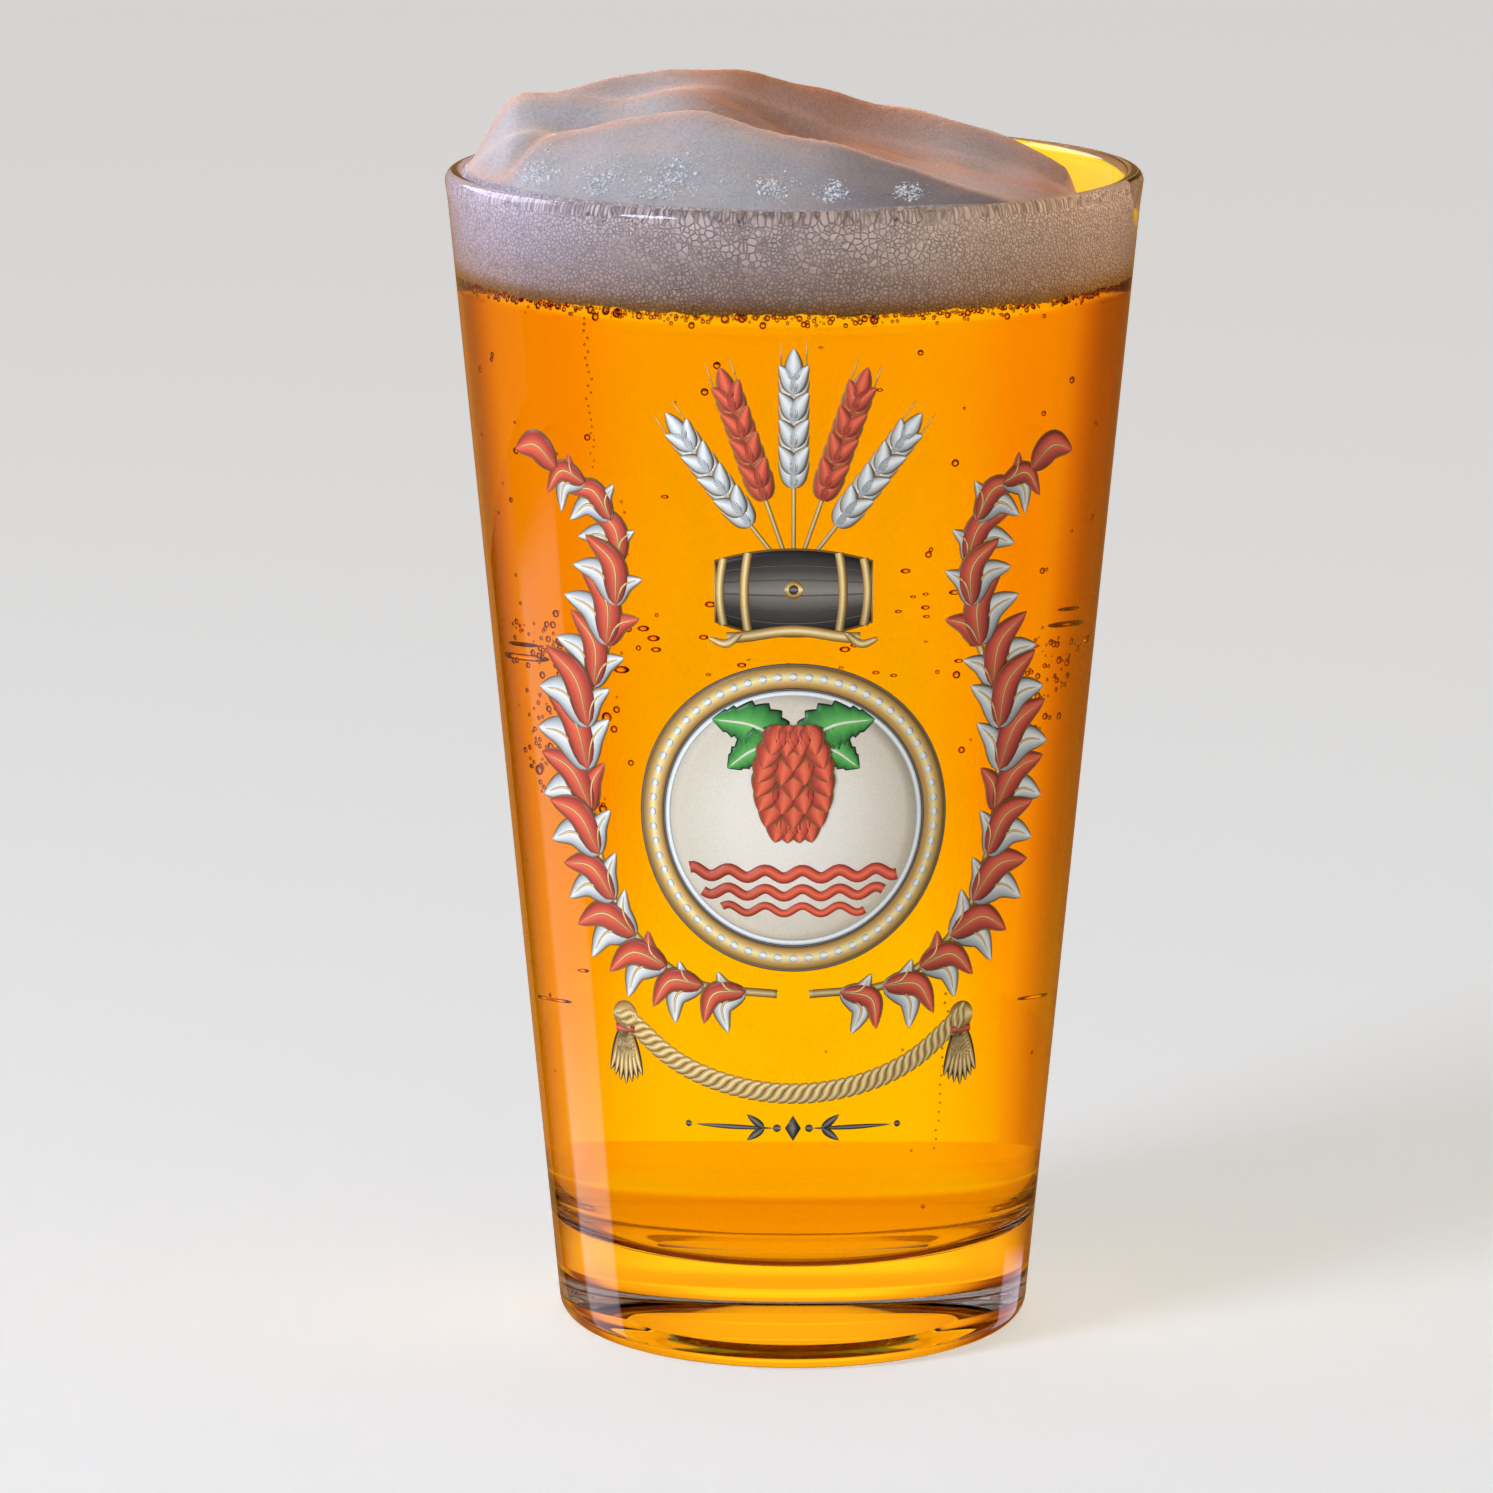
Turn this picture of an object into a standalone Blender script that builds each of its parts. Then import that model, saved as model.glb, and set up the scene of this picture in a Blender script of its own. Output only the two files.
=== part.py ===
"""A pint of beer: a tapered pint glass, the beer in it, and the head of foam that stands above its rim.

Metres, +Z up. The origin is the middle of the circle that the glass stands on, and +Y points away
from the viewer. The three pieces are the glass, turned from one profile, the beer, turned to the
glass's inside, and the head, whose folded top is lofted through lines that run from left to right.
"""

import math

import bmesh
import bpy
import numpy as np

MM = 0.001

# The glass
RIM_HEIGHT = 149.2 * MM
RIM_RADIUS = 44.1 * MM
FOOT_RADIUS = 30.0 * MM  # of the straight side, carried down to the table
RIM_WALL = 2.6 * MM
BASE_WALL = 4.4 * MM
BASE_THICKNESS = 13.0 * MM
FLOOR_DISH = 0.8 * MM  # how much lower the middle of the inside floor lies
FOOT_ROUND = 3.0 * MM
FLOOR_ROUND = 5.5 * MM
STANDING_RING = 1.8 * MM  # width of the flat ring that touches the table
RECESS_DEPTH = 1.0 * MM
RECESS_SLOPE = 2.2 * MM  # width of the slope from the ring up to the recess
RECESS_SHOULDER = 0.85 * MM  # height at which that slope flattens
PUNT_RADIUS = 14.0 * MM  # of the still shallower step in the middle of the recess
PUNT_DEPTH = 0.4 * MM

# The drink
GAP = 0.3 * MM  # between neighbouring solids
BEER_LEVEL = 136.3 * MM

# How finely round shapes are faceted
SEGMENTS = 72
ARC_STEPS = 5
HEAD_RINGS = 20

# Lines that the head's top is lofted through, from the front wall to the back wall. Each station is
# x in mm, the share of the half chord at that x (-1 at the front wall, 1 at the back wall), and the
# height above the rim in mm.
FRONT_WALL = ((-41, -1, 0.4), (0, -1, 0.2), (24, -1, -0.1), (31, -1, -1.2), (36, -1, -4.2), (41, -1, -7.0))
FRONT_FOLD = (
    (-41, -0.98, 0.5), (-36.5, -0.93, 1.0), (-32, -0.52, 4.9), (-25, -0.38, 7.0), (-11, -0.40, 9.1),
    (-3, -0.46, 7.4), (8, -0.55, 5.4), (17, -0.70, 2.9), (24, -0.87, 0.8), (30, -0.97, -1.0),
    (41, -0.98, -7.0),
)
FRONT_HOLLOW = (
    (-41, -0.5, 0.6), (-36.5, -0.48, 5.0), (-28, -0.26, 5.7), (-14, -0.22, 6.7), (-9, -0.24, 5.6),
    (-3, -0.28, 2.6), (8, -0.32, 0.8), (20, -0.42, -1.0), (30, -0.55, -2.4), (41, -0.5, -7.0),
)
MIDDLE_FOLD = (
    (-41, 0.0, 0.6), (-36.5, 0.0, 7.9), (-30, 0.02, 9.4), (-22, 0.04, 8.8), (-13, 0.08, 9.9),
    (-7, 0.06, 7.6), (0, 0.04, 4.2), (12, 0.02, 2.0), (24, 0.0, -0.6), (32, -0.1, -1.9), (41, 0.0, -7.0),
)
BACK_HOLLOW = (
    (-41, 0.2, 0.6), (-36.5, 0.14, 7.4), (-30, 0.12, 8.1), (-20, 0.16, 8.6), (-12, 0.18, 9.9),
    (-3, 0.17, 7.7), (7, 0.16, 4.0), (17, 0.18, 2.1), (25, 0.22, 0.1), (32, 0.2, -1.6), (41, 0.2, -7.0),
)
BACK_FOLD = (
    (-41, 0.4, 0.6), (-36.5, 0.3, 7.6), (-30, 0.26, 9.1), (-20, 0.32, 11.0), (-12, 0.35, 11.3),
    (-3, 0.38, 10.1), (7, 0.41, 7.3), (17, 0.46, 4.6), (25, 0.52, 1.4), (32, 0.55, -1.4), (41, 0.5, -7.0),
)
BACK_WALL = ((-41, 1, 0.4), (0, 1, 0.3), (22, 1, 0.2), (30, 1, -1.4), (36, 1, -5.6), (41, 1, -7.0))
# Each line with the steepness of the top beside it, as a share of the mean slope to the next line:
# 0 is a soft round line, and towards 1 it is a creased one.
HEAD_LINES = (
    (FRONT_WALL, 1.2), (FRONT_FOLD, 0.6), (FRONT_HOLLOW, 0.0), (MIDDLE_FOLD, 0.5),
    (BACK_HOLLOW, 0.1), (BACK_FOLD, 0.3), (BACK_WALL, 1.4),
)
# Right of this bank the head falls to its low side, where the glass is free above it.
BANK_X = 33.8 * MM
BANK_WIDTH = 3.2 * MM
LOW_SIDE = -7.2 * MM  # from the rim


def clear_scene():
    """Removes whatever the file starts with."""
    for obj in list(bpy.data.objects):
        bpy.data.objects.remove(obj, do_unlink=True)


def plain_material(name, colour, roughness, transmission=0.0, ior=1.45):
    """A Principled material of one colour."""
    material = bpy.data.materials.new(name)
    material.use_nodes = True
    shader = material.node_tree.nodes["Principled BSDF"]
    shader.inputs["Base Color"].default_value = (*colour, 1.0)
    shader.inputs["Roughness"].default_value = roughness
    shader.inputs["Metallic"].default_value = 0.0
    shader.inputs["Transmission Weight"].default_value = transmission
    shader.inputs["IOR"].default_value = ior
    return material


def link_mesh(name, mesh, material):
    """Puts a mesh in the scene as an object of that name, shaded smooth but for its sharp edges."""
    mesh.materials.append(material)
    mesh.shade_smooth()
    mesh.set_sharp_from_angle(angle=math.radians(35))
    obj = bpy.data.objects.new(name, mesh)
    bpy.context.scene.collection.objects.link(obj)
    return obj


def outer_radius(z):
    """Radius of the glass's straight side at height z."""
    return FOOT_RADIUS + (RIM_RADIUS - FOOT_RADIUS) * z / RIM_HEIGHT


def inner_radius(z):
    """Radius of the inside of the wall at height z."""
    share = (z - BASE_THICKNESS) / (RIM_HEIGHT - BASE_THICKNESS)
    return outer_radius(z) - BASE_WALL - (RIM_WALL - BASE_WALL) * share


def arc(centre, radius, start_deg, end_deg, steps=ARC_STEPS):
    """Points (r, z) on an arc about centre, both ends included."""
    angles = np.radians(np.linspace(start_deg, end_deg, steps + 1))
    return [(centre[0] + radius * math.cos(a), centre[1] + radius * math.sin(a)) for a in angles]


def side_angle(radius_at):
    """How far the side that radius_at gives leans out from upright, in degrees."""
    run = radius_at(RIM_HEIGHT) - radius_at(BASE_THICKNESS)
    return math.degrees(math.atan2(run, RIM_HEIGHT - BASE_THICKNESS))


def floor_corner(radius_at, floor_z, round_radius):
    """Arc (r, z) that joins a floor to the leaning side above it, from the side to the floor."""
    lean = side_angle(radius_at)
    centre_z = floor_z + round_radius
    centre_r = radius_at(centre_z) - round_radius / math.cos(math.radians(lean))
    return arc((centre_r, centre_z), round_radius, -lean, -90)


def floor_dish(edge_r, edge_z, steps=4):
    """Points from the floor's edge in to its lower middle."""
    shares = np.linspace(1, 0, steps + 1)[1:]
    return [(edge_r * s, edge_z - FLOOR_DISH * (1 - s * s)) for s in shares]


def glass_profile():
    """The glass's section (r, z), from the middle of the inside floor, over the rim and under the foot."""
    corner = floor_corner(inner_radius, BASE_THICKNESS, FLOOR_ROUND)
    inside = list(reversed(corner + floor_dish(*corner[-1])))
    rim_round = RIM_WALL / 2
    rim_centre = (RIM_RADIUS - rim_round, RIM_HEIGHT - rim_round)
    rim = arc(rim_centre, rim_round, 180, 0, steps=8)
    lean = side_angle(outer_radius)
    foot_r = outer_radius(FOOT_ROUND) - FOOT_ROUND / math.cos(math.radians(lean))
    foot = arc((foot_r, FOOT_ROUND), FOOT_ROUND, -lean, -90, steps=6)
    ring_in = foot_r - STANDING_RING
    recess_r = ring_in - RECESS_SLOPE
    under = [
        (ring_in, 0.0),
        (recess_r + RECESS_SLOPE / 3, RECESS_SHOULDER),
        (recess_r, RECESS_DEPTH),
        (PUNT_RADIUS, RECESS_DEPTH),
        (PUNT_RADIUS - PUNT_DEPTH, RECESS_DEPTH + PUNT_DEPTH),
        (0.0, RECESS_DEPTH + PUNT_DEPTH),
    ]
    return inside + rim + foot + under


def beer_profile():
    """The beer's section (r, z), from the middle of its floor, up its side to the middle of its top."""
    def wetted(z):
        """Radius of the beer's side at height z."""
        return inner_radius(z) - GAP

    corner = floor_corner(wetted, BASE_THICKNESS + GAP, FLOOR_ROUND)
    floor = list(reversed(corner + floor_dish(*corner[-1])))
    side = [(wetted(z), z) for z in np.linspace(corner[0][1], BEER_LEVEL, 4)[1:]]
    return floor + side + [(0.0, BEER_LEVEL)]


def turned_object(name, profile, material):
    """A solid turned round Z from a section whose two ends lie on the axis."""
    mesh = bpy.data.meshes.new(name)
    points = [(r, 0.0, z) for r, z in profile]
    edges = [(i, i + 1) for i in range(len(points) - 1)]
    mesh.from_pydata(points, edges, [])
    made = bmesh.new()
    made.from_mesh(mesh)
    bmesh.ops.spin(
        made, geom=made.verts[:] + made.edges[:], cent=(0, 0, 0), axis=(0, 0, 1),
        angle=2 * math.pi, steps=SEGMENTS, use_merge=True,
    )
    bmesh.ops.remove_doubles(made, verts=made.verts[:], dist=1e-6)
    bmesh.ops.recalc_face_normals(made, faces=made.faces[:])
    made.to_mesh(mesh)
    made.free()
    return link_mesh(name, mesh, material)


def between_slopes(start, end, start_slope, end_slope, share):
    """Value at a share of the way from start to end on a cubic with those slopes at its ends."""
    s2, s3 = share * share, share * share * share
    return (
        (2 * s3 - 3 * s2 + 1) * start + (s3 - 2 * s2 + share) * start_slope
        + (3 * s2 - 2 * s3) * end + (s3 - s2) * end_slope
    )


def along(line, x):
    """The share and height of a head line at x, on a smooth curve through its stations."""
    stations = np.array(line, float)
    xs = stations[:, 0] * MM
    slopes = np.gradient(stations[:, 1:], xs, axis=0)
    i = int(np.clip(np.searchsorted(xs, x) - 1, 0, len(xs) - 2))
    span = xs[i + 1] - xs[i]
    step = min(max((x - xs[i]) / span, 0.0), 1.0)
    share, height = between_slopes(
        stations[i, 1:], stations[i + 1, 1:], span * slopes[i], span * slopes[i + 1], step)
    return min(max(share, -1.0), 1.0), height * MM


def head_height(x, y):
    """Height of the head's top above the rim at a point in the glass."""
    chord = math.sqrt(max(inner_radius(RIM_HEIGHT) ** 2 - x * x, 1e-8))
    t = min(max(y / chord, -1.0), 1.0)
    lines = [(*along(line, x), crease) for line, crease in HEAD_LINES]
    i = max(k for k in range(len(lines) - 1) if k == 0 or lines[k][0] <= t)
    share, height, crease = lines[i]
    next_share, next_height, next_crease = lines[i + 1]
    step = min(max((t - share) / max(next_share - share, 1e-4), 0.0), 1.0)
    rise = next_height - height
    folded = between_slopes(height, next_height, rise * crease, rise * next_crease, step)
    bank = min(max((x - BANK_X) / BANK_WIDTH + 0.5, 0.0), 1.0)
    return between_slopes(folded, min(LOW_SIDE, folded), 0.0, 0.0, bank)


def head_object(material):
    """The head: a plug in the neck of the glass, from the beer up to the wall and the folded top."""
    made = bmesh.new()
    bottom_z = BEER_LEVEL + GAP
    angles = [2 * math.pi * k / SEGMENTS for k in range(SEGMENTS)]

    def ring(radius_and_z):
        """Points at the angles, each at its own radius and height."""
        return [
            made.verts.new((r * math.cos(a), r * math.sin(a), z))
            for a, (r, z) in zip(angles, radius_and_z)
        ]

    def join(lower, upper):
        """A band of faces between two rings."""
        for k in range(SEGMENTS):
            n = (k + 1) % SEGMENTS
            made.faces.new((lower[k], lower[n], upper[n], upper[k]))

    reach = inner_radius(RIM_HEIGHT) - GAP
    shares = np.sin(np.linspace(math.pi / 2, 0, HEAD_RINGS + 1))[:-1]
    tops = []
    for share in shares:
        r = reach * float(share)
        heights = [RIM_HEIGHT + head_height(r * math.cos(a), r * math.sin(a)) for a in angles]
        tops.append(ring([(min(r, inner_radius(z) - GAP), z) for z in heights]))
    bottom = ring([(inner_radius(bottom_z) - GAP, bottom_z)] * SEGMENTS)
    made.faces.new(list(reversed(bottom)))
    join(bottom, tops[0])
    for outer, inner in zip(tops, tops[1:]):
        join(outer, inner)
    centre = made.verts.new((0, 0, RIM_HEIGHT + head_height(0, 0)))
    for k in range(SEGMENTS):
        made.faces.new((tops[-1][k], tops[-1][(k + 1) % SEGMENTS], centre))
    mesh = bpy.data.meshes.new("foam")
    made.to_mesh(mesh)
    made.free()
    return link_mesh("foam", mesh, material)


def main():
    """Makes the glass, the beer and the head."""
    clear_scene()
    clear_glass = plain_material("clear_glass", (0.95, 0.97, 0.97), 0.02, transmission=1.0, ior=1.5)
    amber_beer = plain_material("amber_beer", (0.95, 0.42, 0.02), 0.05, transmission=0.8, ior=1.34)
    turned_object("glass", glass_profile(), clear_glass)
    turned_object("beer", beer_profile(), amber_beer)
    head_object(plain_material("beer_foam", (0.86, 0.82, 0.76), 0.6))


main()
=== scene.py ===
"""The looks of a pint of beer: clear glass, amber beer, a folded head of foam, bubbles and a print.

Metres, +Z up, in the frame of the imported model: the origin is the middle of the circle that the glass
stands on, and +Y points away from the camera. Sizes written in millimetres are multiplied by MM.
"""

from __future__ import annotations

import logging
import math
from dataclasses import dataclass, field
from enum import Enum
from typing import Any, Iterable

import bpy
import numpy as np
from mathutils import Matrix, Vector

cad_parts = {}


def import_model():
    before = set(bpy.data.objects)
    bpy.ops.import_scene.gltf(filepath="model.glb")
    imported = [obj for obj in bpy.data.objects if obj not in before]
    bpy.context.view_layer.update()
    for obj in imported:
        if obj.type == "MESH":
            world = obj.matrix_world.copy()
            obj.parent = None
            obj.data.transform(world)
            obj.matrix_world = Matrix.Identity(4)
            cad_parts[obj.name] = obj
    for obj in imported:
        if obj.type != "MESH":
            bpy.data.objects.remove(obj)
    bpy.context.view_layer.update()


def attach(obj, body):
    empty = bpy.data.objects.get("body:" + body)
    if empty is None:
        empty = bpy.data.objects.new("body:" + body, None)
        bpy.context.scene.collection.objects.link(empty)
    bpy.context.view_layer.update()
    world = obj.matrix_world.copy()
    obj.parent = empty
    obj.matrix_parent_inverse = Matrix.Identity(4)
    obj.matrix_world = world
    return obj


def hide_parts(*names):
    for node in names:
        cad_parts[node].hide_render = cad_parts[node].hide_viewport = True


LOG = logging.getLogger("pint")
MM = 0.001
FULL_TURN = 2 * math.pi

Colour = tuple[float, float, float, float]
Points = np.ndarray


# Small helpers


def linear(code: str) -> Colour:
    """Turns an sRGB hex colour into Blender's linear one.

    Args:
        code: the colour as #RRGGBB.

    Returns:
        Red, green, blue and an alpha of 1.
    """
    parts = [int(code[i:i + 2], 16) / 255 for i in (1, 3, 5)]
    red, green, blue = (p / 12.92 if p <= 0.04045 else ((p + 0.055) / 1.055) ** 2.4 for p in parts)
    return (red, green, blue, 1.0)


def add_node(
    tree: bpy.types.NodeTree,
    kind: str,
    settings: dict[str, Any] | None = None,
    inputs: dict[str | int, Any] | None = None,
    stops: Iterable[tuple[float, str]] = (),
) -> bpy.types.Node:
    """Adds a node with its settings, input values and links.

    Args:
        tree: the tree that gets the node.
        kind: the node's type name.
        settings: properties of the node.
        inputs: for each input, by name or place, a value, or a node or socket to link.
        stops: the places and hex colours of a colour ramp's stops.

    Returns:
        The new node.
    """
    node = tree.nodes.new(kind)
    for name, value in (settings or {}).items():
        setattr(node, name, value)
    for key, value in (inputs or {}).items():
        if isinstance(value, bpy.types.Node):
            tree.links.new(value.outputs[0], node.inputs[key])
        elif isinstance(value, bpy.types.NodeSocket):
            tree.links.new(value, node.inputs[key])
        else:
            node.inputs[key].default_value = value
    for i, (place, code) in enumerate(stops):
        elements = node.color_ramp.elements
        element = elements[i] if i < len(elements) else elements.new(place)
        element.position = place
        element.color = linear(code)
    return node


def new_material(name: str) -> tuple[bpy.types.Material, bpy.types.NodeTree, bpy.types.Node]:
    """Makes a material with nothing in its tree but the output.

    Args:
        name: the material's name.

    Returns:
        The material, its tree and the output node.
    """
    material = bpy.data.materials.new(name)
    material.use_nodes = True
    tree = material.node_tree
    tree.nodes.clear()
    return material, tree, add_node(tree, "ShaderNodeOutputMaterial")


def new_geometry_tree(
    name: str, inputs: dict[str, str]
) -> tuple[bpy.types.NodeTree, bpy.types.Node, bpy.types.Node]:
    """Starts a Geometry Nodes tree that takes and gives a geometry.

    Args:
        name: the tree's name.
        inputs: the names of its other inputs, each with its socket type.

    Returns:
        The tree, its input node and its output node.
    """
    tree = bpy.data.node_groups.new(name, "GeometryNodeTree")
    tree.interface.new_socket(name="Geometry", in_out="INPUT", socket_type="NodeSocketGeometry")
    for label, kind in inputs.items():
        tree.interface.new_socket(name=label, in_out="INPUT", socket_type=kind)
    tree.interface.new_socket(name="Geometry", in_out="OUTPUT", socket_type="NodeSocketGeometry")
    return tree, add_node(tree, "NodeGroupInput"), add_node(tree, "NodeGroupOutput")


def end_geometry_tree(
    tree: bpy.types.NodeTree, start: bpy.types.Node, end: bpy.types.Node, geometry: Any
) -> None:
    """Ends a tree in realized instances, smooth shading and the tree's own Material input.

    Args:
        tree: the tree.
        start: its input node.
        end: its output node.
        geometry: the node or socket that gives the shape.
    """
    real = add_node(tree, "GeometryNodeRealizeInstances", inputs={"Geometry": geometry})
    smooth = add_node(tree, "GeometryNodeSetShadeSmooth", inputs={"Geometry": real})
    dressed = add_node(
        tree, "GeometryNodeSetMaterial", inputs={"Geometry": smooth, "Material": start.outputs["Material"]}
    )
    tree.links.new(dressed.outputs[0], end.inputs["Geometry"])


def run_tree(
    name: str,
    mesh: bpy.types.Mesh,
    tree: bpy.types.NodeTree,
    values: dict[str, Any],
    thickness: float = 0.0,
) -> bpy.types.Object:
    """Runs a Geometry Nodes tree on a mesh and keeps the result as a plain mesh.

    Args:
        name: the name of the piece.
        mesh: what the tree starts from.
        tree: the tree.
        values: a value for each of the tree's named inputs.
        thickness: if not 0, how thick the faces are made, inwards.

    Returns:
        The piece, at the origin, with no modifier left.
    """
    source = bpy.data.objects.new(name + "_source", mesh)
    bpy.context.scene.collection.objects.link(source)
    modifier = source.modifiers.new("shape", "NODES")
    modifier.node_group = tree
    for item in tree.interface.items_tree:
        if item.item_type == "SOCKET" and item.in_out == "INPUT" and item.name in values:
            modifier[item.identifier] = values[item.name]
    if thickness:
        wall = source.modifiers.new("thickness", "SOLIDIFY")
        wall.thickness = thickness
        wall.offset = -1.0
    graph = bpy.context.evaluated_depsgraph_get()
    made = bpy.data.meshes.new_from_object(
        source.evaluated_get(graph), preserve_all_data_layers=True, depsgraph=graph
    )
    source.modifiers.clear()
    bpy.data.objects.remove(source)
    made.name = name
    piece = bpy.data.objects.new(name, made)
    bpy.context.scene.collection.objects.link(piece)
    return piece


def mesh_of(name: str, points: Points, faces: Any = (), edges: Any = ()) -> bpy.types.Mesh:
    """Makes a mesh from points and faces or edges.

    Args:
        name: the mesh's name.
        points: one row of x, y and z for each point.
        faces: the points of each face.
        edges: the points of each edge.

    Returns:
        The mesh.
    """
    mesh = bpy.data.meshes.new(name)
    mesh.from_pydata(np.asarray(points, float).tolist(), list(edges), list(faces))
    mesh.update()
    return mesh


def give_values(mesh: bpy.types.Mesh, name: str, values: Points) -> None:
    """Stores one number for each point of a mesh under a name."""
    layer = mesh.attributes.new(name, "FLOAT", "POINT")
    layer.data.foreach_set("value", np.asarray(values, np.float32))


def cubic(start: Any, end: Any, start_slope: Any, end_slope: Any, share: Any) -> Any:
    """Goes from one value to another on a cubic with the given slopes at its ends.

    Args:
        start: value at share 0.
        end: value at share 1.
        start_slope: slope at share 0.
        end_slope: slope at share 1.
        share: how far along, from 0 to 1.

    Returns:
        The value at that share.
    """
    s2, s3 = share * share, share * share * share
    return (
        (2 * s3 - 3 * s2 + 1) * start + (s3 - 2 * s2 + share) * start_slope
        + (3 * s2 - 2 * s3) * end + (s3 - s2) * end_slope
    )


def ramp(value: Any, low: float, high: float) -> Any:
    """0 below low, 1 above high, and a soft rise between them."""
    share = np.clip((value - low) / (high - low), 0.0, 1.0)
    return share * share * (3 - 2 * share)


# Finishes


@dataclass(frozen=True)
class SodaLimeGlass:
    """Pressed and fire-polished soda-lime glass: clear, with a mirror gloss and hardly any waviness."""

    tint: str = "#F8FCFA"  # the faint green of iron, seen in thick glass
    ior: float = 1.5
    wave_size: float = 14 * MM  # slow waves left by the press mould
    wave_depth: float = 0.02 * MM

    def material(self) -> bpy.types.Material:
        """Builds the material."""
        material, tree, out = new_material("soda_lime_glass")
        place = add_node(tree, "ShaderNodeTexCoord").outputs["Object"]
        waves = add_node(
            tree, "ShaderNodeTexNoise",
            inputs={"Vector": place, "Scale": 1 / self.wave_size, "Detail": 1.0, "Roughness": 0.4},
        )
        bump = add_node(
            tree, "ShaderNodeBump", inputs={"Strength": 0.35, "Distance": self.wave_depth, "Height": waves}
        )
        # Wiping leaves a haze too thin to see but in the strongest reflections.
        haze = add_node(
            tree, "ShaderNodeTexNoise", inputs={"Vector": place, "Scale": 60.0, "Detail": 4.0, "Roughness": 0.6}
        )
        gloss = add_node(
            tree, "ShaderNodeMapRange", inputs={"Value": haze, "From Min": 0.45, "From Max": 0.8,
                                                "To Min": 0.0, "To Max": 0.012},
        )
        shader = add_node(
            tree, "ShaderNodeBsdfPrincipled",
            inputs={"Base Color": linear(self.tint), "IOR": self.ior, "Transmission Weight": 1.0,
                    "Roughness": gloss, "Normal": bump},
        )
        tree.links.new(shader.outputs[0], out.inputs["Surface"])
        return material


@dataclass(frozen=True)
class AmberBeer:
    """Clear pale ale: yellow where it is thin and deep amber where the eye looks through more of it."""

    ior: float = 1.34
    density: float = 120.0  # per metre
    lets_through: tuple[float, float, float, float] = (0.998, 0.945, 0.2, 1.0)

    def material(self) -> bpy.types.Material:
        """Builds the material."""
        material, tree, out = new_material("amber_beer")
        place = add_node(tree, "ShaderNodeTexCoord").outputs["Object"]
        # Rising gas keeps the beer in slow motion, which varies its clearness a little.
        drift = add_node(
            tree, "ShaderNodeTexNoise", inputs={"Vector": place, "Scale": 90.0, "Detail": 3.0, "Roughness": 0.5}
        )
        tint = add_node(
            tree, "ShaderNodeValToRGB", inputs={"Fac": drift}, stops=((0.3, "#FFFBF4"), (0.7, "#FFFFFF"))
        )
        shader = add_node(
            tree, "ShaderNodeBsdfPrincipled",
            inputs={"Base Color": tint, "IOR": self.ior, "Transmission Weight": 1.0, "Roughness": 0.0},
        )
        dye = add_node(
            tree, "ShaderNodeVolumeAbsorption", inputs={"Color": self.lets_through, "Density": self.density}
        )
        tree.links.new(shader.outputs[0], out.inputs["Surface"])
        tree.links.new(dye.outputs[0], out.inputs["Volume"])
        return material


@dataclass(frozen=True)
class BubbleGas:
    """Carbon dioxide in beer: a bubble bends light the other way from a drop, so its edge is dark."""

    ior: float = 0.746  # of gas against beer

    def material(self) -> bpy.types.Material:
        """Builds the material."""
        material, tree, out = new_material("carbon_dioxide_bubble")
        place = add_node(tree, "ShaderNodeTexCoord").outputs["Object"]
        film = add_node(
            tree, "ShaderNodeTexNoise", inputs={"Vector": place, "Scale": 900.0, "Detail": 1.0}
        )
        tint = add_node(
            tree, "ShaderNodeValToRGB", inputs={"Fac": film}, stops=((0.3, "#FFF6E6"), (0.7, "#FFFFFF"))
        )
        # Painted reflection: each bubble is tinted darker amber towards its rim, for the beer's colour that the rim
        # mirrors from all round
        facing = add_node(tree, "ShaderNodeLayerWeight", inputs={"Blend": 0.5}).outputs["Facing"]
        rim = add_node(
            tree, "ShaderNodeValToRGB", inputs={"Fac": facing},
            stops=((0.2, "#FFF8EC"), (0.55, "#D8682C"), (1.0, "#7A2408")),
        )
        colour = add_node(
            tree, "ShaderNodeMix", {"data_type": "RGBA", "blend_type": "MULTIPLY"}, {0: 1.0, 6: tint, 7: rim}
        ).outputs[2]
        shader = add_node(
            tree, "ShaderNodeBsdfGlass", inputs={"Color": colour, "Roughness": 0.0, "IOR": self.ior}
        )
        tree.links.new(shader.outputs[0], out.inputs["Surface"])
        return material


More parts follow.
